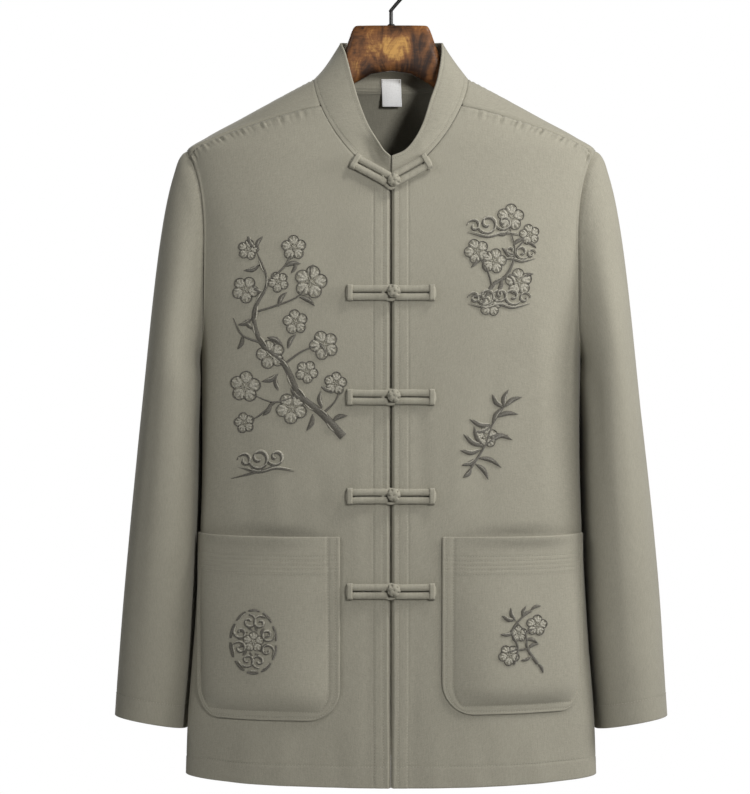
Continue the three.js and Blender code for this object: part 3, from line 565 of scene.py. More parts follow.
# ---------------------------------------------------------------- materials
class Look:
    """A material around one Principled shader, with short ways to add nodes to it."""

    def __init__(self, name, inputs):
        self.material = bpy.data.materials.new(name)
        self.material.use_nodes = True
        self.nodes, self.links = self.material.node_tree.nodes, self.material.node_tree.links
        self.nodes.clear()
        self.shader = self.node("BsdfPrincipled", inputs)
        self.node("OutputMaterial", {"Surface": self.shader.outputs["BSDF"]})

    def fill(self, node, inputs):
        """Each input gets a number, a colour, or a link from another node's output."""
        for key, value in inputs.items():
            if isinstance(value, bpy.types.NodeSocket):
                self.links.new(value, node.inputs[key])
            else:
                node.inputs[key].default_value = value

    def node(self, kind, inputs, **settings):
        node = self.nodes.new("ShaderNode" + kind)
        for key, value in settings.items():
            setattr(node, key, value)
        self.fill(node, inputs)
        return node

    def coordinates(self, kind):
        return self.node("TexCoord", {}).outputs[kind]

    def axes(self, vector):
        return self.node("SeparateXYZ", {0: vector}).outputs

    def maths(self, operation, *values):
        return self.node("Math", dict(enumerate(values)), operation=operation).outputs[0]

    def total(self, *terms):
        """The sum of values, each with its weight."""
        found = None
        for value, weight in terms:
            term = value if weight == 1 else self.maths("MULTIPLY", value, weight)
            found = term if found is None else self.maths("ADD", found, term)
        return found

    def ripple(self, value, pitch):
        """A wave over a texture place, with its pitch in millimetres."""
        return self.maths("SINE", self.maths("MULTIPLY", value, 2 * PI / (pitch * MM)))

    def noise(self, vector, scale, detail, rough, stretch=(1, 1, 1), shift=(0, 0, 0), twist=0.0):
        mapped = self.node("Mapping", {"Scale": stretch, "Location": shift, "Vector": vector}).outputs[0]
        inputs = {"Scale": scale, "Detail": detail, "Roughness": rough, "Distortion": twist, "Vector": mapped}
        return self.node("TexNoise", inputs).outputs[0]

    def spread(self, value, low, high, low_at=0.0, high_at=1.0, **settings):
        """The value carried from one span to another."""
        inputs = {"Value": value, "From Min": low_at, "From Max": high_at, "To Min": low, "To Max": high}
        return self.node("MapRange", inputs, **settings).outputs[0]

    def ramp(self, value, *stops):
        node = self.node("ValToRGB", {"Fac": value})
        while len(node.color_ramp.elements) < len(stops):
            node.color_ramp.elements.new(0.5)
        for element, (position, colour) in zip(node.color_ramp.elements, stops):
            element.position = position
            element.color = (*colour, 1)
        return node.outputs["Color"]

    def done(self, colour, height, strength, distance, **more):
        """The colour and the bump go to the shader."""
        bump = self.node("Bump", {"Strength": strength, "Distance": distance, "Height": height})
        self.fill(self.shader, {"Base Color": colour, "Normal": bump.outputs[0], **more})
        return self.material


def tinted(tint, share):
    return tuple(min(1, c * share) for c in tint)


def cloth_material(name, tint, weave=0.8, strength=0.25):
    """Slubbed cotton and linen: a fine plain weave with uneven threads, over a soft mottling."""
    look = Look(name, {"Sheen Weight": 0.12, "Sheen Roughness": 0.5, "Specular IOR Level": 0.25})
    uv = look.coordinates("UV")
    warp, weft = (look.ripple(axis, weave) for axis in look.axes(uv)[:2])
    slub_v = look.noise(uv, 1000, 2, 0.6, (1, 0.1, 1))
    slub_h = look.noise(uv, 1000, 2, 0.6, (0.1, 1, 1))
    heather = look.noise(uv, 1100, 3, 0.65)
    blotch = look.noise(uv, 380, 2, 0.5)
    cloud = look.noise(look.coordinates("Object"), 16, 3, 0.5)
    threads = look.total((slub_v, 0.22), (slub_h, 0.14))
    tone = look.total((threads, 1), (heather, 0.46), (blotch, 0.12), (cloud, 0.08))
    colour = look.ramp(tone, (0.33, tinted(tint, 0.72)), (0.51, tint), (0.69, tinted(tint, 1.26)))
    height = look.total((look.maths("MULTIPLY", warp, weft), 0.4), (threads, 1.4))
    return look.done(colour, height, strength, 0.0003, Roughness=look.spread(heather, 0.78, 0.95))


def thread_material(name, tint, pitch=0.7):
    """Satin stitch: fine threads side by side, with a soft shine."""
    look = Look(name, {"Roughness": 0.5, "Sheen Weight": 0.2})
    uv = look.coordinates("UV")
    x, y = look.axes(uv)[:2]
    wave = look.ripple(look.total((x, 1), (y, 0.45)), pitch)
    tone = look.total((wave, 0.12), (look.noise(uv, 700, 2, 0.5), 1))
    colour = look.ramp(tone, (0.3, tinted(tint, 0.6)), (0.5, tint), (0.72, tinted(tint, 1.45)))
    return look.done(colour, wave, 0.5, 0.0003)


def wood_material(name):
    """Burr wood under a satin varnish: swirled figure, amber and dark brown, with small dark eyes."""
    look = Look(name, {"Roughness": 0.5, "Specular IOR Level": 0.3, "Coat Weight": 0.08, "Coat Roughness": 0.2})
    place = look.coordinates("Object")
    swirl = look.noise(place, 30, 6, 0.62, (1.5, 1.0, 0.62), (0.31, 0.0, 0.12), 1.8)
    broad = look.noise(place, 19, 2, 0.5)
    grain = look.noise(place, 420, 3, 0.6, (0.25, 1, 1))
    # a pale patch a little right of the middle, and the colour a shade darker towards the left
    away = look.node("VectorMath", {0: place, 1: (0.006, -0.006, -0.088)}, operation="DISTANCE").outputs["Value"]
    pale_patch = look.spread(away, 0.12, 0.0, 0.006, 0.024, interpolation_type="SMOOTHSTEP")
    tilt = look.spread(look.axes(place)["X"], -0.05, 0.035, -0.04, 0.04)
    fine = look.maths("SUBTRACT", grain, 0.5)
    figure = look.total((swirl, 0.55), (broad, 0.45), (fine, 0.14), (pale_patch, 1), (tilt, 1))
    colour = look.ramp(
        figure,
        (0.41, (0.026, 0.010, 0.004)), (0.48, (0.085, 0.033, 0.010)),
        (0.56, (0.20, 0.078, 0.022)), (0.66, (0.54, 0.29, 0.075)),
    )
    eyes = look.node("TexVoronoi", {"Scale": 85, "Vector": place}).outputs["Distance"]
    spot = look.ramp(eyes, (0.1, (0, 0, 0)), (0.2, (1, 1, 1)))
    # 6 and 7 are this node's two colours, and its output 2 is their mix
    blend = look.node("Mix", {"Factor": spot, 6: (0.035, 0.014, 0.006, 1), 7: colour}, data_type="RGBA")
    return look.done(blend.outputs[2], grain, 0.12, 0.0002)


def plain_material(name, colour, roughness, metallic=0.0, grain=600.0, bump_strength=0.15):
    look = Look(name, {"Metallic": metallic})
    fine = look.noise(look.coordinates("Object"), grain, 3, 0.6)
    shade = look.ramp(fine, (0.35, tinted(colour, 0.86)), (0.65, tinted(colour, 1.12)))
    rough = look.spread(fine, roughness * 0.85, min(1, roughness * 1.15))
    return look.done(shade, fine, bump_strength, 0.0002, Roughness=rough)


TINT = (0.300, 0.283, 0.225)
CLOTH_LOOK = cloth_material("cloth", TINT)
CORD_LOOK = cloth_material("cord_cloth", tinted(TINT, 1.04), weave=0.7, strength=0.4)
STITCH_LOOK = plain_material("stitching", (0.36, 0.34, 0.275), 0.6, grain=1500)
# the near-black thread is painted shade, standing for the shadow along the raised stitching; the lighter thread is the
# stitching's own tone, and a painted highlight where it is drawn shifted up and right
SATIN_PAINTED_SHADE = thread_material("satin_painted_shade", (0.105, 0.096, 0.075))
SATIN_TONE_AND_HIGHLIGHT = thread_material("satin_tone_and_highlight", (0.36, 0.340, 0.275))
WOOD_LOOK = wood_material("burr_wood")
WIRE_LOOK = plain_material("dark_wire", (0.035, 0.034, 0.033), 0.32, metallic=0.9, grain=300, bump_strength=0.05)
LABEL_LOOK = cloth_material("label_tape", (0.97, 0.97, 0.96), weave=0.5, strength=0.1)


# ---------------------------------------------------------------- fronts and back
def stops(*runs):
    """Steps from 0 to 1 with a count in each run: (end, count)."""
    out, start = [np.array([0.0])], 0.0
    for end, count in runs:
        out.append(np.linspace(start, end, count + 1)[1:])
        start = end
    return np.concatenate(out)


FRONT_U = stops((0.018, 10), (0.095, 25), (0.42, 36), (0.94, 88), (1.0, 14))
BACK_U = stops((0.94, 80), (1.0, 14))
PANEL_V = stops((0.06, 26), (0.955, 108), (1.0, 30))


def puckers(run, seed):
    """Uneven little gathers along a seam."""
    k = np.random.default_rng(seed)
    out = np.zeros_like(run)
    for length, size in ((5.6, 0.5), (7.9, 0.42), (12.5, 0.35), (4.1, 0.25)):
        out += size * np.sin(2 * PI * run / length + k.uniform(0, 6) + 1.3 * np.sin(run / 19 + k.uniform(0, 6)))
    return out


def panel_relief(base, us, is_back):
    """Seams at the panel's top and side: the cloth dips into each seam and swells beside it."""
    side_run, from_top = arc(base, 1), arc(base, 0)
    from_side = side_run[:, -1:] - side_run
    u, v = us[None, :], PANEL_V[:, None]
    on_shoulder = smooth((u - NECK_SHARE + 0.005) / 0.02)
    seed, start, depth = (11, 0.05, 0.22) if is_back else (5, 0, 1.55)
    gather = puckers(side_run[:1] + 0 * from_top, seed) * smooth((u - NECK_SHARE - start) / 0.03)
    relief = on_shoulder * (-0.95 * bell(from_top, 1.7) + 0.55 * bell(from_top - 4.2, 2.6))
    relief += gather * depth * bell(from_top - 5.5, 5.5) - 0.7 * bell(from_top, 2.2) * (1 - on_shoulder)
    arm = smooth((ARM_SHARE + 0.01 - v) / 0.03)
    ridge = arm * (smooth(v / 0.12) if is_back else 1)
    relief += ridge * (-0.5 * bell(from_side, 1.3) + 0.9 * bell(from_side - 4.0, 2.4))
    if not is_back:
        relief -= 4.2 * arm * smooth((v - 0.15) / 0.1) * bell(from_side, 2.5)
    return relief + (1 - arm) * (-0.6 * bell(from_side, 1.6) + 0.25 * bell(from_side - 4, 2.5))


def front_panel(side):
    angle, z = panel_spots(False, FRONT_U, PANEL_V)
    base = body_point(angle, z, side)
    relief = panel_relief(base, FRONT_U, False) + front_relief(np.abs(base[..., 0]), z, side)
    from_edge = arc(base, 1)
    relief += 0.35 * bell(from_edge - 3.4, 1.5) - ROLL_DEPTH * bell(from_edge, ROLL_WIDTH)
    grid = base + body_normal(angle, z, side) * relief[..., None]
    # the two fronts touch at the hem and stand a little apart above it
    gap = mix(0.04, FRONT_GAP, smooth((z - HEM_Z - 30) / 60))
    grid[..., 0] += side * gap * (1 - FRONT_U[None]) ** 2
    n = grid_normals(grid, (80, 90), 1, -1)
    uv = np.stack([from_edge, -arc(base, 0)], axis=-1)
    node = "front_" + SIDE_NAME[side]
    return shell("jacket_" + node, node, grid, n, CLOTH, CLOTH_LOOK, uv=uv)


def back_relief(angle, x, z, side):
    fade = smooth((angle - PI / 2) / 0.25)
    return creases(np.abs(x), z, BACK_CREASES[side]) * fade + hem_relief(z - HEM_Z)


def back_panel():
    halves = {}
    for side in (LEFT, RIGHT):
        angle, z = panel_spots(True, BACK_U, PANEL_V)
        base = body_point(angle, z, side)
        relief = panel_relief(base, BACK_U, True) + back_relief(angle, base[..., 0], z, side)
        halves[side] = base + body_normal(angle, z, side) * relief[..., None]
    middle = (halves[LEFT][:, :1] + halves[RIGHT][:, :1]) / 2
    grid = np.concatenate([halves[RIGHT][:, :0:-1], middle, halves[LEFT][:, 1:]], axis=1)
    n = grid_normals(grid, (120, grid.shape[1] // 2), 1, 1)
    return shell("jacket_back", "back", grid, n, CLOTH, CLOTH_LOOK)


# ---------------------------------------------------------------- sleeves
def sleeve_ring(turn, z, side):
    outer, inner, front, back, tilt, nod = SLEEVE(z)
    r = roundness(turn, SLEEVE_CURVE)
    across = ((outer - inner) / 2) * r * np.cos(turn)
    y = -np.where(np.sin(turn) > 0, front, back) * r * np.sin(turn)
    return points(side * ((outer + inner) / 2 + across), y, z + tilt * across - nod * y)


def sleeve_point(turn, v, side):
    """From the armhole at v = 0 over the cap to v = 1, and down the sleeve to the cuff at v = 2."""
    low = sleeve_ring(turn, mix(CAP_END, CUFF, np.maximum(v - 1, 0)), side)
    angle, z = armhole(turn)
    start = body_point(angle, z, side)
    end = sleeve_ring(turn, CAP_END + 0 * turn, side)
    reach = np.linalg.norm(start - end, axis=-1)[..., None]
    outward = 0.35 + 0.5 * np.cos(turn / 2) ** 2
    fall = 0.42 + 0.45 * np.sin(turn / 2) ** 2
    leave = points(side * outward, -0.5 * np.sin(turn), -fall) * CAP_ROUND * reach
    arrive = (sleeve_ring(turn, CAP_END - 1 + 0 * turn, side) - end) * reach
    t = np.minimum(v, 1)[..., None]
    cap = start * (1 + 2 * t) * (1 - t) ** 2 + leave * t * (1 - t) ** 2
    cap = cap + end * t * t * (3 - 2 * t) + arrive * t * t * (t - 1)
    return np.where((v > 1)[..., None], low, cap)


# turn of each fold at its upper and lower end, v at those ends, depth, width in turn. PI / 2 is the front.
SLEEVE_FOLDS = {
    LEFT: [
        (0.9, 1.15, 0.7, 1.6, -0.9, 0.16), (1.75, 1.6, 0.9, 1.9, 0.9, 0.2), (2.3, 2.1, 0.75, 1.35, -1.6, 0.2),
        (-0.8, -1.2, 0.4, 1.5, -2.0, 0.22), (-1.7, -1.5, 0.8, 1.9, 2.0, 0.22), (-2.3, -2.2, 0.7, 1.7, -2.2, 0.2),
        (0.2, 0.3, 1.1, 1.8, 0.9, 0.22),
    ],
    RIGHT: [
        (1.2, 1.0, 0.8, 1.8, -1.0, 0.17), (1.9, 2.05, 0.7, 1.5, 1.1, 0.2), (2.45, 2.4, 0.45, 2.15, 2.4, 0.28),
        (-0.6, -1.0, 0.5, 1.7, 1.9, 0.2), (-1.4, -1.6, 0.6, 1.8, -2.2, 0.22), (-2.2, -2.0, 0.9, 1.9, 1.8, 0.2),
        (0.1, 0.25, 1.2, 1.9, -0.8, 0.2),
    ],
}
SLEEVE_SIDES, SLEEVE_RADIUS = 104, 62


def turn_between(a, b):
    """The turn from b to a, the short way round."""
    return np.angle(np.exp(1j * (a - b)))


def sleeve_grid(side, turns, levels):
    turn, v = np.meshgrid(turns, levels)
    base = sleeve_point(turn, v, side)
    normal = grid_normals(base, (-1, len(turns) // 2), 0, side, tube=True)
    z = base[..., 2]
    down = arc(base, 0)
    to_cuff = down[-1:] - down
    # beside the armhole seam, with the sleeve's head left smooth
    head = smooth((np.cos(turn) - 0.55) / 0.4)
    relief = 0.25 * bell(down - 4.5, 3.2) - 0.55 * bell(down, 1.6) * (1 - head)
    relief += 1.2 * bell(down - 12, 11) * smooth((np.cos(turn) - 0.1) / 0.6)
    relief += 0.25 * smooth((np.cos(turn) + 0.2) / 0.8) * puckers(turn * SLEEVE_RADIUS, 3) * bell(down - 5, 6)
    dip = smooth((turn - 1.35) / 0.5) * (1 - 0.6 * smooth((turn - 2.6) / 0.5))
    relief -= 4.2 * dip * bell(down, 2.8)
    # the swell of the inner side, where the sleeve lies against the body
    inner_side, inner_rear = bell(turn_between(turn, PI), 0.8), bell(turn_between(turn, PI + 0.65), 0.6)
    swell = 6.0 * inner_rear * smooth((z + 700) / 120) + 4.4 * inner_side * bell(z + 440, 42)
    relief += swell * smooth((-414 - z) / 26)
    # the cuff's turned hem, then the long folds
    relief += 0.15 * (1 - smooth((to_cuff - CUFF_ROW + 1) / 1.8)) - 0.18 * bell(to_cuff - CUFF_ROW - 0.6, 1.1)
    for t0, t1, v0, v1, depth, width in SLEEVE_FOLDS[side]:
        s = (v - v0) / (v1 - v0)
        off = turn_between(turn, mix(t0, t1, s))
        relief += depth * bell(off, width) * np.sin(PI * np.clip(s, 0, 1)) ** 0.8
    # the first rows leave the body's face, and the edge tucks in under it
    angle, z = armhole(turns)
    body_out = body_normal(angle, z, side)[None]
    near = bell(down, 5.0)[..., None]
    grid = base + unit(normal * (1 - near) + body_out * near) * relief[..., None]
    tuck = (2.0 - 1.2 * head[:1])[..., None]
    return np.concatenate([grid[:1] - body_out * tuck - np.array([side * 2.0, 0, 0]), grid])


def sleeve(side):
    turns = np.linspace(-PI, PI, SLEEVE_SIDES, endpoint=False)
    levels = np.concatenate([stops((0.1, 16), (1.0, 44)), 1 + stops((0.92, 52), (1.0, 26))[1:]])
    grid = sleeve_grid(side, turns, levels)
    n = grid_normals(grid, (-1, SLEEVE_SIDES // 2), 0, side, tube=True)
    uv = np.stack([turns[None] * SLEEVE_RADIUS + 0 * grid[..., 0], -arc(grid, 0)], axis=-1)
    node = "sleeve_" + SIDE_NAME[side]
    return shell("jacket_" + node, node, grid, n, CLOTH, CLOTH_LOOK, tube=True, uv=uv), grid, n


# ---------------------------------------------------------------- collar
COLLAR_CLOTH, COLLAR_BULGE = 2.0, 2.2
COLLAR_ROWS = (4.2, 3.6)


def collar_half(side, levels):
    front = top_edge(False, np.linspace(0, 1, 44) * NECK_SHARE)
    back = top_edge(True, np.linspace(1, 0, 52)[1:] * NECK_SHARE)
    angle, z = np.concatenate([front[0], back[0]]), np.concatenate([front[1], back[1]])
    base = body_point(angle, z, side)
    base[0, 0] = side * 1.2
    run = arc(base[:, None], 0)[:, 0]
    left, right, y, rz = RIM(run / run[-1])
    top = points(side * (left if side == LEFT else right), y, rz)
    seam = base + unit(top - base) * LIFT
    out = unit(points(base[:, 0], base[:, 1], 0 * base[:, 0]))
    tall = np.linalg.norm(top - base, axis=-1)[None]
    run, level = run[None], levels[:, None]
    near_seam, near_rim = level * tall, (1 - level) * tall
    bow = np.sin(PI * level)
    hollow = 3.4 * bell(run - 36, 30) if side == RIGHT else 0
    relief = COLLAR_BULGE * bow * (1 - hollow) + 0.35 * bell(near_rim, 1.6)
    relief -= 0.4 * bell(near_seam - COLLAR_ROWS[0], 0.9) + 0.35 * bell(near_rim - COLLAR_ROWS[1], 0.9)
    if side == RIGHT:
        relief += 1.1 * bell(run - 62 - 8 * level, 10) * bow ** 1.2
        relief -= 0.9 * bell(run - 92, 9) * bow + 2.8 * bell(near_rim - 13, 7.5) * bell(run - 32, 34)
    else:
        relief += 0.8 * bell(run - 40 - 10 * level, 9) * bow
    return mix(seam[None], top[None], level[..., None]) + out[None] * relief[..., None]


def collar():
    levels = stops((0.2, 14), (0.86, 12), (1.0, 8))
    right, left = collar_half(RIGHT, levels), collar_half(LEFT, levels)
    middle = (right[:, -1:] + left[:, -1:]) / 2
    grid = np.concatenate([right[:, :-1], middle, left[:, -2::-1]], axis=1)
    n = grid_normals(grid, (len(levels) // 2, 20), 1, -1)
    return shell("jacket_collar", "collar", grid, n, COLLAR_CLOTH, CLOTH_LOOK), grid, n


# ---------------------------------------------------------------- pockets
POCKET_CORNER, POCKET_PUFF, POCKET_MOUTH = 34.0, 9.0, 0.34
POCKET_ROWS, MOUTH_ROWS = (3.0, 9.0), (20, 24.6, 29.2, 33.8, 38.4)


def pocket_span(p, z):
    """The angles of the pocket's near and far sides at a level, with the lower corners rounded off."""
    low = np.maximum(0, POCKET_CORNER - (z - p["bottom"]))
    cut = POCKET_CORNER - np.sqrt(np.maximum(0, POCKET_CORNER ** 2 - low ** 2))
    return angle_at_x(p["near"] + cut, z), angle_at_x(p["far"] - cut * 0.7, z)


def pocket_surface(p, u, v, lift=0.0):
    """A point of the pocket's outer face. u runs from the near side to the far one, v from the mouth down."""
    side, width, height = p["side"], p["far"] - p["near"], p["top"] - p["bottom"]
    down = v * height
    z = p["top"] - down
    angle = mix(*pocket_span(p, z), u)
    from_sides, from_low = np.minimum(u * width, (1 - u) * width), (1 - v) * height
    edge = np.minimum(from_sides, from_low)
    sag = mix(POCKET_MOUTH, 1, smooth(v / 0.8)) + 0.5 * bell(down, 9) * np.sin(PI * u) ** 2
    sides = 1 - (1 - np.clip((from_sides - 9) / 44, 0, 1)) ** 2.2
    under = 1 - (1 - np.clip((from_low - 9.5) / 28, 0, 1)) ** 3
    puff = 0.7 + POCKET_PUFF * sag * sides * under
    grooves = -0.3 * bell(edge - POCKET_ROWS[0], 0.9) - 0.55 * bell(edge - POCKET_ROWS[1], 1.1)
    rows = -0.22 * sum(bell(down - d, 1.0) for d in MOUTH_ROWS)
    band = 0.35 * (1 - smooth((down - 39) / 2))
    ripples = np.sin(5.2 * u + 1.4 * v + side) + 0.6 * np.sin(9.1 * u - 2.0 * v)
    wave = 0.5 * np.sin(PI * u) * ripples * smooth(v * 3) * (1 - v ** 6)
    base, n = body_point(angle, z, side), body_normal(angle, z, side)
    below = creases(side * base[..., 0], z, FRONT_CREASES[side])
    total = LIFT + CLOTH + puff + grooves + rows + band + wave + 0.6 * below + lift
    return base + n * total[..., None], n


def pocket(side):
    us = stops((0.08, 14), (0.92, 60), (1.0, 14))
    vs = stops((0.24, 48), (0.86, 40), (0.96, 16), (1.0, 12))
    grid, _ = pocket_surface(POCKETS[side], *np.meshgrid(us, vs))
    node = "pocket_" + SIDE_NAME[side]
    return shell("jacket_" + node, node, grid, grid_normals(grid, (60, 40), 1, -1), CLOTH, CLOTH_LOOK)


def on_pocket(p, x, z, lift):
    """A point of the pocket's face from its distance to the centre line and its level."""
    near, far = pocket_span(p, z)
    u, v = (angle_at_x(x, z) - near) / (far - near), (p["top"] - z) / (p["top"] - p["bottom"])
    return pocket_surface(p, u, v, lift)


# ---------------------------------------------------------------- build the cloth
front_left, front_right, back = front_panel(LEFT), front_panel(RIGHT), back_panel()
sleeve_left, *left_form = sleeve(LEFT)
sleeve_right, *right_form = sleeve(RIGHT)
collar_piece, collar_grid, collar_normals = collar()
pocket_left, pocket_right = pocket(LEFT), pocket(RIGHT)


# ---------------------------------------------------------------- stitching
EDGE_PITCH, HEM_PITCH, POCKET_PITCH, COLLAR_PITCH = 3.1, 3.2, 3.0, 2.9


def front_stitches(side):
    t = Threads()
    z = np.linspace(-236, HEM_Z + 3, 640)
    for x in EDGE_ROWS:
        t.row(*on_front(np.full_like(z, x), z, side), EDGE_PITCH)
    x = np.linspace(3, 205, 260)
    t.row(*on_front(x, np.full_like(x, HEM_Z + HEM_ROW) + 3.0 * (x / 225) ** 2, side), HEM_PITCH)
    return t.done("stitches_front_" + SIDE_NAME[side])


def sleeve_stitches(side, grid, normals):
    down = arc(grid, 0)
    to_cuff = down[-1:] - down
    path, normal = [], []
    for i in [*range(grid.shape[1]), 0]:
        path.append(interp_rows(-CUFF_ROW, -to_cuff[:, i], grid[:, i]))
        normal.append(normals[np.argmin(np.abs(to_cuff[:, i] - CUFF_ROW)), i])
    t = Threads()
    t.row(np.array(path), np.array(normal), HEM_PITCH)
    return t.done("stitches_cuff_" + SIDE_NAME[side])


def collar_stitches():
    t = Threads()
    tall = arc(collar_grid, 0)
    for distances, row in ((0 * tall[-1] + COLLAR_ROWS[0], 8), (tall[-1] - COLLAR_ROWS[1], -2)):
        path = [interp_rows(at, tall[:, i], collar_grid[:, i]) for i, at in enumerate(distances)]
        t.row(np.array(path), collar_normals[row], COLLAR_PITCH)
    return t.done("stitches_collar")


def pocket_stitches(side):
    t = Threads()
    p = POCKETS[side]
    width, height = p["far"] - p["near"], p["top"] - p["bottom"]
    for inset in POCKET_ROWS:
        a, b = inset / width, inset / height
        down, across = np.linspace(0.004, 1 - b, 260), np.linspace(a, 1 - a, 200)
        u = np.concatenate([np.full(260, a), across, np.full(260, 1 - a)])
        v = np.concatenate([down, np.full(200, 1 - b), down[::-1]])
        t.row(*pocket_surface(p, u, v), POCKET_PITCH)
    for d in MOUTH_ROWS:
        u = np.linspace(11 / width, 1 - 11 / width, 200)
        t.row(*pocket_surface(p, u, np.full_like(u, d / height)), POCKET_PITCH)
    return t.done("stitches_pocket_" + SIDE_NAME[side])


def back_stitches():
    t = Threads()
    for side in (LEFT, RIGHT):
        angle = np.linspace(PI - 0.001, PI / 2 + 0.08, 300)
        z = HEM_Z + HEM_RISE * np.sin(angle) ** 2 + HEM_ROW
        base, n = body_point(angle, z, side), body_normal(angle, z, side)
        t.row(base + n * back_relief(angle, base[:, 0], z, side)[:, None], n, HEM_PITCH)
    return t.done("stitches_back")


stitches = {
    "front_left": front_stitches(LEFT),
    "front_right": front_stitches(RIGHT),
    "sleeve_left": sleeve_stitches(LEFT, *left_form),
    "sleeve_right": sleeve_stitches(RIGHT, *right_form),
    "collar": collar_stitches(),
    "pocket_left": pocket_stitches(LEFT),
    "pocket_right": pocket_stitches(RIGHT),
    "back": back_stitches(),
}


# ---------------------------------------------------------------- embroidery: plum branches, clouds and leaves
def polar(x, z, degrees, rx, rz=None):
    """The point that lies at an angle and a distance from another, or on an oval round it."""
    a = math.radians(degrees)
    return x + rx * math.cos(a), z + (rx if rz is None else rz) * math.sin(a)


class Embroidery:
    """Satin stitch strokes drawn in the plane of the front: x to the right of the picture, z up."""

    # a stroke's cross section: shares of its half width and of its height
    OFFS, RISE = np.array([-1, -0.62, 0, 0.62, 1]), np.array([-0.35, 0.72, 1, 0.72, -0.35])
    LEAF_BEND = 0.12

    def __init__(self, place, look):
        self.place, self.look, self.parts, self.uv = place, look, [], []

    def stroke(self, knots, widths, height=1.7):
        if len(knots) > 2:
            path = curve_through(knots, 5)
        else:
            path = mix(*np.array(knots, float), np.linspace(0, 1, 9)[:, None])
        w = np.interp(np.linspace(0, 1, len(path)), np.linspace(0, 1, len(widths)), widths)
        along = unit(np.gradient(path, axis=0))
        across = np.stack([-along[:, 1], along[:, 0]], axis=-1)
        offs = w[:, None] * self.OFFS / 2
        flat = path[:, None] + across[:, None] * offs[..., None]
        p, n = self.place(flat[..., 0], flat[..., 1])
        thick = height * self.RISE[None] * np.minimum(1, w / 1.6)[:, None]
        run = arc(path[:, None], 0)[:, 0]
        self.parts.append(((p + n * thick[..., None]).reshape(-1, 3), quads(len(path), 5).tolist()))
        self.uv.append(np.stack([np.repeat(run, 5), offs.ravel()], axis=-1))

    def leaf(self, x, z, angle, length, width):
        dx, dz = polar(0, 0, angle, length)
        middle = x + dx / 2 - dz * self.LEAF_BEND, z + dz / 2 + dx * self.LEAF_BEND
        self.stroke([(x, z), middle, (x + dx, z + dz)], [0.5, width * 0.8, width, width * 0.7, 0.2])

    def blossom(self, x, z, r, turn):
        ways = [turn + 72 * k for k in range(5)]
        for way in ways:
            for spread, reach in ((-0.42, 0.86), (0, 1.0), (0.42, 0.86)):
                ends = polar(x, z, way, 0.3 * r), polar(x, z, way + math.degrees(spread), r * reach)
                self.stroke(ends, [r * 0.16, r * 0.3, r * 0.36, r * 0.14], 1.5)
        for way in ways:
            self.stroke([(x, z), polar(x, z, way + 36, 0.36 * r)], [1.1, 0.9, 1.3], 2.2)

    def ring(self, x, z, rx, rz, width, start=0, end=360):
        t = np.radians(np.linspace(start, end, max(8, int(abs(end - start) / 14))))
        self.stroke(list(zip(x + rx * np.cos(t), z + rz * np.sin(t))), [width * 0.6, width, width, width * 0.6])

    def petal_rims(self, x, z, reach, r, width, turn):
        for way in range(turn, turn + 360, 72):
            self.ring(*polar(x, z, way, reach), r, r, width, way - 115, way + 115)

    def scroll(self, x, z, r, start, way, turns, width):
        t = np.linspace(0, 1, 14)
        a = math.radians(start) + way * 2 * PI * turns * t
        rad = r * (1 - 0.82 * t)
        self.stroke(list(zip(x + rad * np.cos(a), z + rad * np.sin(a))), [width * 0.5, width, width, width * 0.7])

    def cloud(self, x, z, s, flip):
        for dx, dz, r, start, way, turns, width in (
            (0, 0, 0.34, 200, 1, 1.3, 0.085),
            (0.5, 0.04, 0.27, 190, 1, 1.2, 0.075),
            (-0.42, -0.08, 0.22, 170, -1, 1.1, 0.07),
        ):
            start = start if flip > 0 else 180 - start
            self.scroll(x + flip * dx * s, z + dz * s, r * s, start, flip * way, turns, width * s)
        base = [(x + flip * dx * s, z + dz * s) for dx, dz in ((-0.62, -0.26), (0, -0.40), (0.5, -0.28), (1.05, -0.36))]
        self.stroke(base, [0.3, 0.08 * s, 0.07 * s, 0.3])

    def done(self, name):
        return make(name, *joined_mesh(self.parts), self.look, np.concatenate(self.uv))


def leaf_with_lit_vein(dark, mid, x, z, a, length, width, inset, shift, share, lit_vein_width):
    dark.leaf(x, z, a, length, width)
    # the lighter stroke, shifted up and right inside the dark leaf, is the vein with a painted highlight
    vx, vz = polar(x, z, a, inset * length)
    mid.leaf(vx + shift[0], vz + shift[1], a, length * share, lit_vein_width)


def flower(dark, mid, x, z, r, turn, eye, eye_width, reach, petal, rim_width):
    mid.blossom(x, z, r, turn)
    dark.ring(x, z, eye, eye, eye_width)
    dark.petal_rims(x, z, reach, petal, rim_width, turn)


def plum_spray(dark, mid, knots, width, twigs, flowers, leaves):
    dark.stroke(knots, [width, width * 0.85, width * 0.7, width * 0.45, 0.8])
    # short lighter strokes beside the branch, on alternate sides, are painted highlights
    branch_line = curve_through(knots, 4)
    for k in range(1, len(branch_line) - 2, 2):
        a, b = branch_line[k], branch_line[k + 2]
        side = (0.3 - 0.2 * k / len(branch_line)) * (1 if k % 4 == 1 else -1)
        across = unit(np.array([-(b - a)[1], (b - a)[0]])) * width * side
        mid.stroke([a + across, mix(a, b, 0.5) + across * 1.25, b + across * 0.8], [0.4, width * 0.2, 0.4], 2.6)
    for twig in twigs:
        dark.stroke(twig, [3.0, 2.3, 0.9])
    for x, z, a, length in leaves:
        leaf_with_lit_vein(dark, mid, x, z, a, length, length * 0.36, 0.1, (0.7, 0.9), 0.78, length * 0.12)
    for x, z, r, turn in flowers:
        flower(dark, mid, x, z, r, turn, r * 0.33, 1.0, 0.62 * r, r * 0.46, 1.4)


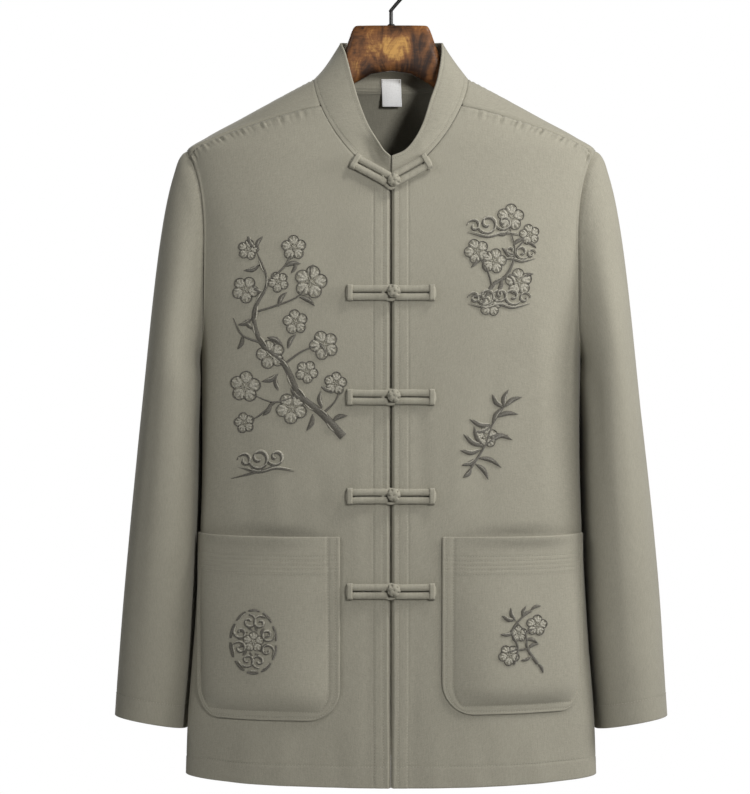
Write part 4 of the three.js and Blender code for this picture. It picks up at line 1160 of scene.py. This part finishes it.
def right_front(dark, mid):
    plum_spray(
        dark, mid,
        [(-50, -500), (-72, -476), (-96, -456), (-112, -424), (-136, -402), (-144, -370), (-130, -338), (-142, -304)],
        10,
        [[(-96, -456), (-122, -464), (-150, -454)], [(-112, -424), (-92, -410), (-72, -404)],
         [(-136, -402), (-156, -394), (-166, -376)], [(-144, -370), (-118, -362), (-96, -352), (-84, -334)],
         [(-130, -338), (-112, -322), (-102, -302)], [(-72, -476), (-58, -462), (-52, -444)],
         [(-122, -464), (-138, -478), (-150, -484)]],
        [(-153, -448, 15, 12), (-70, -404, 14, 40), (-84, -338, 16, 5), (-153, -346, 13, 60), (-102, -302, 12, 20),
         (-126, -414, 14, 33), (-104, -470, 15, 50), (-58, -444, 11, 10), (-100, -380, 12, 25), (-150, -304, 10, 8),
         (-88, -432, 11, 60), (-154, -486, 10, 30), (-118, -338, 10, 44)],
        [(-90, -462, 140, 20), (-118, -434, 205, 20), (-118, -364, 60, 18), (-138, -320, 200, 18), (-96, -354, 330, 19),
         (-112, -322, 10, 18), (-62, -484, 20, 18), (-82, -476, 250, 19), (-130, -396, 330, 20), (-108, -408, 60, 18),
         (-142, -304, 120, 17), (-142, -304, 62, 16), (-156, -394, 250, 16), (-72, -470, 95, 18), (-118, -452, 95, 17),
         (-126, -464, 240, 17), (-146, -376, 205, 17), (-144, -388, 130, 14), (-76, -402, 300, 16), (-84, -334, 80, 15),
         (-60, -452, 160, 14), (-132, -350, 150, 16), (-100, -316, 250, 14)],
    )
    # the dark copy of the cloud, shifted down and left of the lighter one, is a painted shadow
    mid.cloud(-138, -522, 36, 1)
    dark.cloud(-139.2, -523.6, 36, 1)
    dark.stroke([(-168, -545), (-150, -540), (-132, -535), (-116, -528)], [0.8, 3.2, 3.0, 0.6])


def left_front(dark, mid):
    for x, z, s, flip in ((102, -276, 34, 1), (128, -352, 30, -1), (100, -352, 30, 1), (138, -306, 24, -1)):
        # the dark copy, shifted down and left of the lighter cloud, is a painted shadow
        mid.cloud(x, z, s, flip)
        dark.cloud(x - 1.1, z - 1.5, s, flip)
    plum_spray(
        dark, mid, [(94, -364), (106, -342), (122, -330), (130, -306), (124, -278)], 6,
        [[(106, -342), (100, -324), (90, -310)], [(122, -330), (138, -334)], [(130, -306), (142, -292)]],
        [(126, -270, 13, 15), (90, -306, 12, 40), (134, -338, 13, 22), (108, -316, 12, 3), (146, -288, 10, 30),
         (104, -362, 11, 12)],
        [(128, -300, 30, 15), (116, -334, 250, 16), (98, -350, 190, 15), (130, -310, 150, 16), (138, -334, 20, 13),
         (124, -284, 200, 14), (100, -328, 100, 14), (142, -296, 330, 13), (122, -330, 300, 15), (90, -312, 240, 13)],
    )
    dark.stroke([(84, -532), (98, -510), (106, -488), (118, -470)], [3.4, 2.8, 1.5])
    for x, z, a, length in (
        (98, -510, 150, 26), (98, -510, 118, 24), (98, -510, 25, 28), (106, -488, 55, 24), (106, -488, 165, 25),
        (106, -488, 200, 22), (118, -470, 30, 23), (118, -470, 75, 20), (118, -470, 130, 19), (90, -522, 205, 18),
        (90, -522, 338, 28), (102, -500, 352, 26), (84, -532, 230, 14), (88, -528, 310, 22), (110, -480, 8, 24),
        (94, -514, 180, 22),
    ):
        leaf_with_lit_vein(dark, mid, x, z, a, length, 6.4, 0.12, (0.8, 1.0), 0.74, 2.2)
    flower(dark, mid, 100, -500, 11, 20, 4, 1.4, 6.8, 5.0, 1.3)


def right_pocket(dark, mid):
    x, z, rx, rz = -141, -715, 23, 33
    # the dark rings and scrolls are painted shade, and their lighter copies, shifted up and right, painted highlights
    for k in range(0, 360, 36):
        dark.ring(x, z, rx, rz, 3.2, k + 3, k + 31)
        mid.ring(x + 0.8, z + 0.9, rx - 1.6, rz - 1.6, 1.6, k + 6, k + 26)
    for k in range(8):
        px, pz = polar(x, z, 45 * k + 20, 0.64 * rx, 0.66 * rz)
        way = 1 if k % 2 else -1
        mid.scroll(px + 0.8, pz + 0.9, 7.6, 45 * k, way, 1.2, 2.2)
        dark.scroll(px, pz, 7.6, 45 * k, way, 1.2, 2.6)
    for k in range(0, 360, 30):
        dark.leaf(*polar(x, z, k + 8, 0.42 * rx, 0.36 * rz), k + 38, 8.5, 3.0)
    flower(dark, mid, x, z, 10, 18, 3.4, 0.9, 6.2, 4.4, 0.9)


def left_pocket(dark, mid):
    dark.stroke([(126, -738), (130, -720), (124, -704), (134, -690), (144, -682)], [3.2, 3.0, 2.4, 1.0])
    plum_spray(
        dark, mid, [(150, -738), (140, -722), (138, -706), (128, -692)], 4.5,
        [[(138, -706), (150, -700)], [(140, -722), (126, -724)]],
        [(150, -698, 10, 10), (121, -728, 10, 50), (131, -706, 8, 20)],
        [(128, -692, 160, 15), (128, -692, 110, 14), (134, -690, 30, 14), (144, -682, 20, 12), (130, -720, 200, 14),
         (150, -738, 300, 12), (138, -712, 340, 14), (126, -704, 190, 14), (140, -722, 20, 13), (136, -690, 75, 13),
         (144, -730, 200, 12)],
    )


def embroidered(drawing, place, dark_name, mid_name):
    dark, mid = Embroidery(place, SATIN_PAINTED_SHADE), Embroidery(place, SATIN_TONE_AND_HIGHLIGHT)
    drawing(dark, mid)
    return [dark.done(dark_name), mid.done(mid_name)]


def front_place(side):
    return lambda x, z: on_front(np.abs(x), z, side, 0.05)


def pocket_place(side):
    return lambda x, z: on_pocket(POCKETS[side], np.abs(x), z, 0.05)


embroidery = {
    "front_right": embroidered(right_front, front_place(RIGHT), "embroidery_right_dark", "embroidery_right_mid"),
    "front_left": embroidered(left_front, front_place(LEFT), "embroidery_left_dark", "embroidery_left_mid"),
    "pocket_right": embroidered(
        right_pocket, pocket_place(RIGHT), "embroidery_pocket_dark_right", "embroidery_pocket_mid_right"),
    "pocket_left": embroidered(
        left_pocket, pocket_place(LEFT), "embroidery_pocket_dark_left", "embroidery_pocket_mid_left"),
}


# ---------------------------------------------------------------- frog fastenings
KNOT_RADIUS, FROG_REACH, FROG_PITCH, TAB_HALF = 6.8, 46.0, 4.2, 8.6
KNOT_EDGE = KNOT_RADIUS + 0.8
COLLAR_LEVEL, COLLAR_SLOPE, COLLAR_LIFT = -233.0, math.atan2(-210 + 233, 41), 1.8
LEVELS = [-349.5, -458.5, -562.0, -661.5]


def along_surface(path, normal, section):
    """A cord along a path on a surface whose normals are given."""
    return tube(path, unit(np.cross(normal, unit(np.gradient(path, axis=0)))), normal, section)


def cord_piece(node, parts):
    verts, faces = joined_mesh(parts)
    return make("looks_" + node, verts, faces, CORD_LOOK, np.stack([verts[:, 0], verts[:, 2]], axis=-1), node=node)


def frog_strip(side, number, level, slope, lift):
    """Two cords side by side, joined at the far end, with a folded tab over them. The right one has the loop."""

    def place(s, t, up):
        x = s * math.cos(slope) - t * math.sin(slope)
        z = level + s * math.sin(slope) + t * math.cos(slope)
        return on_front(np.maximum(np.abs(x), 0.02), z, side, LIFT + lift + up)

    reach = FROG_REACH - 4.8
    quarter = np.linspace(0, PI / 2, 7)[1:]
    start = KNOT_EDGE - (4.5 if side == RIGHT else 3.0)
    s = np.concatenate([np.linspace(start, reach, 22), reach + 2.4 * np.sin(quarter)])
    t = np.concatenate([np.full(22, FROG_PITCH), FROG_PITCH - 2.0 + 2.0 * np.cos(quarter)])
    s, t = np.concatenate([s, s[::-1]]), np.concatenate([t, -t[::-1]])
    t = t + 0.25 * np.sin(number * 2.1 + side) * np.sin(s / 11)
    parts = [along_surface(*place(s, t, 2.2), oval(7.4, 5.2, 16, 2.0))]
    # the folded end, a small square tab over the cords
    tab_s = np.linspace(FROG_REACH - 6.2, FROG_REACH, 15)
    ss, tt = np.meshgrid(tab_s, np.linspace(-TAB_HALF, TAB_HALF, 25))
    crown = 1 - np.abs((ss - tab_s.mean()) / 3.1) ** 6
    fall = 1 - np.abs(tt / TAB_HALF) ** 10
    p, _ = place(ss, tt, 1.2 + 5.2 * np.maximum(0, crown) ** 0.35 * np.maximum(0, fall) ** 0.35)
    q, _ = place(ss, tt, 0 * ss + 0.3)
    count, loop = ss.size, edge_loop(*ss.shape)
    face = quads(*ss.shape)
    walls = np.stack([loop, loop + count, np.roll(loop, -1) + count, np.roll(loop, -1)], axis=-1)
    faces = np.concatenate([face, face[:, ::-1] + count, walls]).tolist()
    parts.append((np.concatenate([p.reshape(-1, 3), q.reshape(-1, 3)]), faces))
    if side == RIGHT:
        turn = np.linspace(-0.8 * PI, 0.8 * PI, 32)
        path, n = over_centre(level, slope, lift, -0.6 - 7.8 * np.cos(turn), 7.2 * np.sin(turn), 2.0)
        parts.append(along_surface(path, n, oval(3.6, 3.4, 12)))
    return cord_piece(("frog_loop_" if side == RIGHT else "frog_strip_") + str(number), parts)


def over_centre(level, slope, lift, x, t, up):
    """Over the centre line: x is signed, the strip's slope is mirrored on the two sides."""
    p, _ = on_front(np.full_like(x, 0.4), level + np.abs(x) * math.tan(slope) + t, LEFT, 0)
    n = np.zeros_like(p)
    n[..., 1] = -1
    return points(x, p[..., 1], p[..., 2]) + n * (LIFT + lift + up), n


def knot(number, level, lift):
    """A ball of one cord woven over and under itself."""
    t = np.linspace(0, 2 * PI, 361)
    lat, lon = 0.98 * np.sin(5 * t + 0.3), 3 * t
    weave = 4.3 + 0.9 * np.sin(10 * t + 0.6 + 0.5 * PI)
    ball = points(weave * np.cos(lat) * np.cos(lon), -weave * np.sin(lat), weave * np.cos(lat) * np.sin(lon))
    middle, _ = on_front(np.array(0.4), np.array(level), LEFT, 0)
    centre = np.array([3.1, middle[1] - KNOT_RADIUS - 0.1 - lift * 0.6, level + 1.9])
    path = ball + centre
    along = unit(np.gradient(path, axis=0))
    across = unit(np.cross(unit(ball), along))
    parts = [tube(path, across, unit(np.cross(along, across)), oval(4.2, 4.2 * 0.86, 9), closed_ends=False)]
    # a filled core, so that nothing shows through the weave
    rings, around = 14, 20
    a, b = np.meshgrid(np.linspace(0, 2 * PI, around, endpoint=False), np.linspace(0.04, PI - 0.04, rings))
    core = centre + 3.2 * points(np.sin(b) * np.cos(a), np.sin(b) * np.sin(a), np.cos(b))
    parts.append((core.reshape(-1, 3), flipped(quads(rings, around, wrap=True)).tolist()))
    return cord_piece("frog_knot_" + str(number), parts)


frogs = [(COLLAR_LEVEL, COLLAR_SLOPE, COLLAR_LIFT)] + [(level, 0.0, 0.0) for level in LEVELS]
for k, (level, slope, lift) in enumerate(frogs):
    frog_strip(RIGHT, k + 1, level, slope, lift)
    frog_strip(LEFT, k + 1, level, slope, lift)
    knot(k + 1, level, lift)


# ---------------------------------------------------------------- label, hanger and hook
def label():
    u, v = np.meshgrid(np.linspace(0, 1, 22), np.linspace(0, 1, 32))
    bow = 1.2 * (1 - (2 * u - 1) ** 2) * v + 0.35 * np.sin(3.3 * u + 2.2 * v) * v
    grid = points((u - 0.5) * 21 + 1.2 * v, 41.7 - bow - 0.8 * v, -116.3 - v * 29.7)
    obj = shell("looks_label", "label", grid, grid_normals(grid, (5, 5), 1, -1), 0.7, LABEL_LOOK, slot="label")
    t = Threads()
    for x0 in (-9.2, 9.2):
        path = points(np.full(12, x0), np.full(12, 41.45), np.linspace(-117.0, -120.6, 12))
        t.row(path, points(np.zeros(12), -np.ones(12), np.zeros(12)), 1.5)
    return obj, t.done("stitches_label")


def hanger():
    # distance from the middle, top, bottom, half depth
    rows = [
        (0, -62, -111, 8.5), (20, -62, -113.5, 8.5), (38.5, -62.2, -123.5, 8.5), (41, -64, -125, 8.5),
        (47.5, -83, -130, 8.6), (57, -108, -137, 8.8), (68, -126, -146, 9),
    ]
    # and under the shoulder: distance, room under the cloth, height, half depth
    for x, clear, height, half in (
        (84, 6, 24, 9.5), (110, 2.4, 27, 11), (140, 1.6, 29, 14),
        (170, 1.4, 30, 18), (192, 1.5, 29, 21), (204, 2, 24, 20),
    ):
        slope = float(ridge_z(x - 2) - ridge_z(x + 2))
        top = float(ridge_z(x)) - (CLOTH + clear) * math.hypot(1, slope / 4)
        rows.append((x, top, top - height, half))
    rows = np.array(rows)
    xs = np.concatenate([np.linspace(0, 204, 137), [205.5, 206.6, 207.2]])
    cols = [np.interp(xs, rows[:, 0], rows[:, k]) for k in (1, 2, 3)]
    for column in cols:
        for _ in range(2):
            column[1:-1] = np.convolve(column, np.array([1, 2, 1]) / 4, "valid")
    top, bottom, half = cols
    # the arms' ends round off
    shrink = np.ones_like(xs)
    shrink[-3:] = (0.85, 0.6, 0.25)
    both = [np.concatenate([a[:0:-1], a])[:, None] for a in ((top + bottom) / 2, (top - bottom) / 2, half, shrink)]
    middle, tall, half, shrink = both
    x = np.concatenate([-xs[:0:-1], xs])[:, None]
    t = np.linspace(0, 2 * PI, 48, endpoint=False)
    r = roundness(t[None], 2.1 + 1.6 * bell(x, 60))
    y = 2 + half * shrink * r * np.cos(t)
    grid = points(x + 0 * y, y, middle + tall * shrink * r * np.sin(t))
    return make("looks_hanger", grid.reshape(-1, 3), bar_faces(*y.shape), WOOD_LOOK, slot="wood", node="hanger")


def hook():
    turn = np.linspace(-0.28 * PI, 1.16 * PI, 40)
    crown = list(zip(19 * np.cos(turn), -17 + 19 * np.sin(turn)))
    flat = curve_through([(0, -62.4), (0, -56), (0, -50), (0, -47.5), (0.3, -45.3)] + crown, 3)
    path = points(flat[:, 0], np.full(len(flat), 2.0), flat[:, 1])
    along = unit(np.gradient(path, axis=0))
    across = np.tile([0.0, 1.0, 0.0], (len(path), 1))
    wire = tube(path, across, unit(np.cross(across, along)), oval(4, 4, 16, 2))
    # a small collar where the wire enters the wood
    ring_z = np.array([-62.6, -62.0, -61.2, -60.6, -60.4])[:, None]
    ring_r = np.array([3.9, 4.1, 4.0, 3.4, 2.1])[:, None]
    a = np.linspace(0, 2 * PI, 20, endpoint=False)
    ring = points(ring_r * np.cos(a), 2 + ring_r * np.sin(a), ring_z + 0 * a)
    verts, faces = joined_mesh([wire, (ring.reshape(-1, 3), bar_faces(5, 20, closed_ends=False))])
    return make("looks_hook", verts, faces, WIRE_LOOK, slot="hook", node="hook")


label_piece, label_stitches = label()
hanger()
hook()

# ---------------------------------------------------------------- floor, light
FLOOR_RADIUS, FLOOR_Z = 1.3, -1.32
floor_mesh = bpy.data.meshes.new("floor")
around = np.linspace(0, 2 * PI, 64, endpoint=False)
rim = [(FLOOR_RADIUS * math.cos(t), FLOOR_RADIUS * math.sin(t), FLOOR_Z) for t in around]
floor_mesh.from_pydata(rim, [], [list(range(64))])
floor_mesh.materials.append(plain_material("pale_floor", (0.62, 0.62, 0.61), 0.7, grain=40, bump_strength=0.02))
floor = bpy.data.objects.new("floor", floor_mesh)
COLLECTION.objects.link(floor)

# the camera sees a white ground, and the object gets a weak fill from all round
bpy.context.scene.view_settings.view_transform = "Standard"
world = bpy.data.worlds.new("studio")
bpy.context.scene.world = world
world.use_nodes = True
nodes, links = world.node_tree.nodes, world.node_tree.links
nodes.clear()
choose = nodes.new("ShaderNodeMixShader")
links.new(nodes.new("ShaderNodeLightPath").outputs["Is Camera Ray"], choose.inputs[0])
for socket, colour, strength in ((1, (0.96, 0.98, 1.0, 1), 0.08), (2, (1, 1, 1, 1), 1.0)):
    ground = nodes.new("ShaderNodeBackground")
    ground.inputs["Color"].default_value = colour
    ground.inputs["Strength"].default_value = strength
    links.new(ground.outputs[0], choose.inputs[socket])
links.new(choose.outputs[0], nodes.new("ShaderNodeOutputWorld").inputs[0])


def area_light(name, place, aim, size, power, colour=(1, 1, 1)):
    data = bpy.data.lights.new(name, "AREA")
    data.shape, data.size, data.energy, data.color = "DISK", size, power, colour
    obj = bpy.data.objects.new(name, data)
    obj.location = place
    obj.rotation_mode = "QUATERNION"
    obj.rotation_quaternion = (Vector(aim) - Vector(place)).to_track_quat("-Z", "Y")
    COLLECTION.objects.link(obj)


area_light("high_right", (1.0, -0.6, 1.2), (0, 0, -0.35), 0.4, 17.5, (1.0, 0.985, 0.955))
area_light("side_right", (1.85, -0.4, 0.15), (0, 0, -0.35), 0.7, 20.5)
area_light("front_right", (0.65, -1.75, 0.08), (0, 0, -0.1), 0.3, 17.8)
area_light("front_left", (-1.6, -1.4, 0.45), (0, 0, -0.3), 1.0, 10.0)
area_light("back", (-1.2, 3.0, 1.4), (0, 0, -0.4), 2.0, 60)
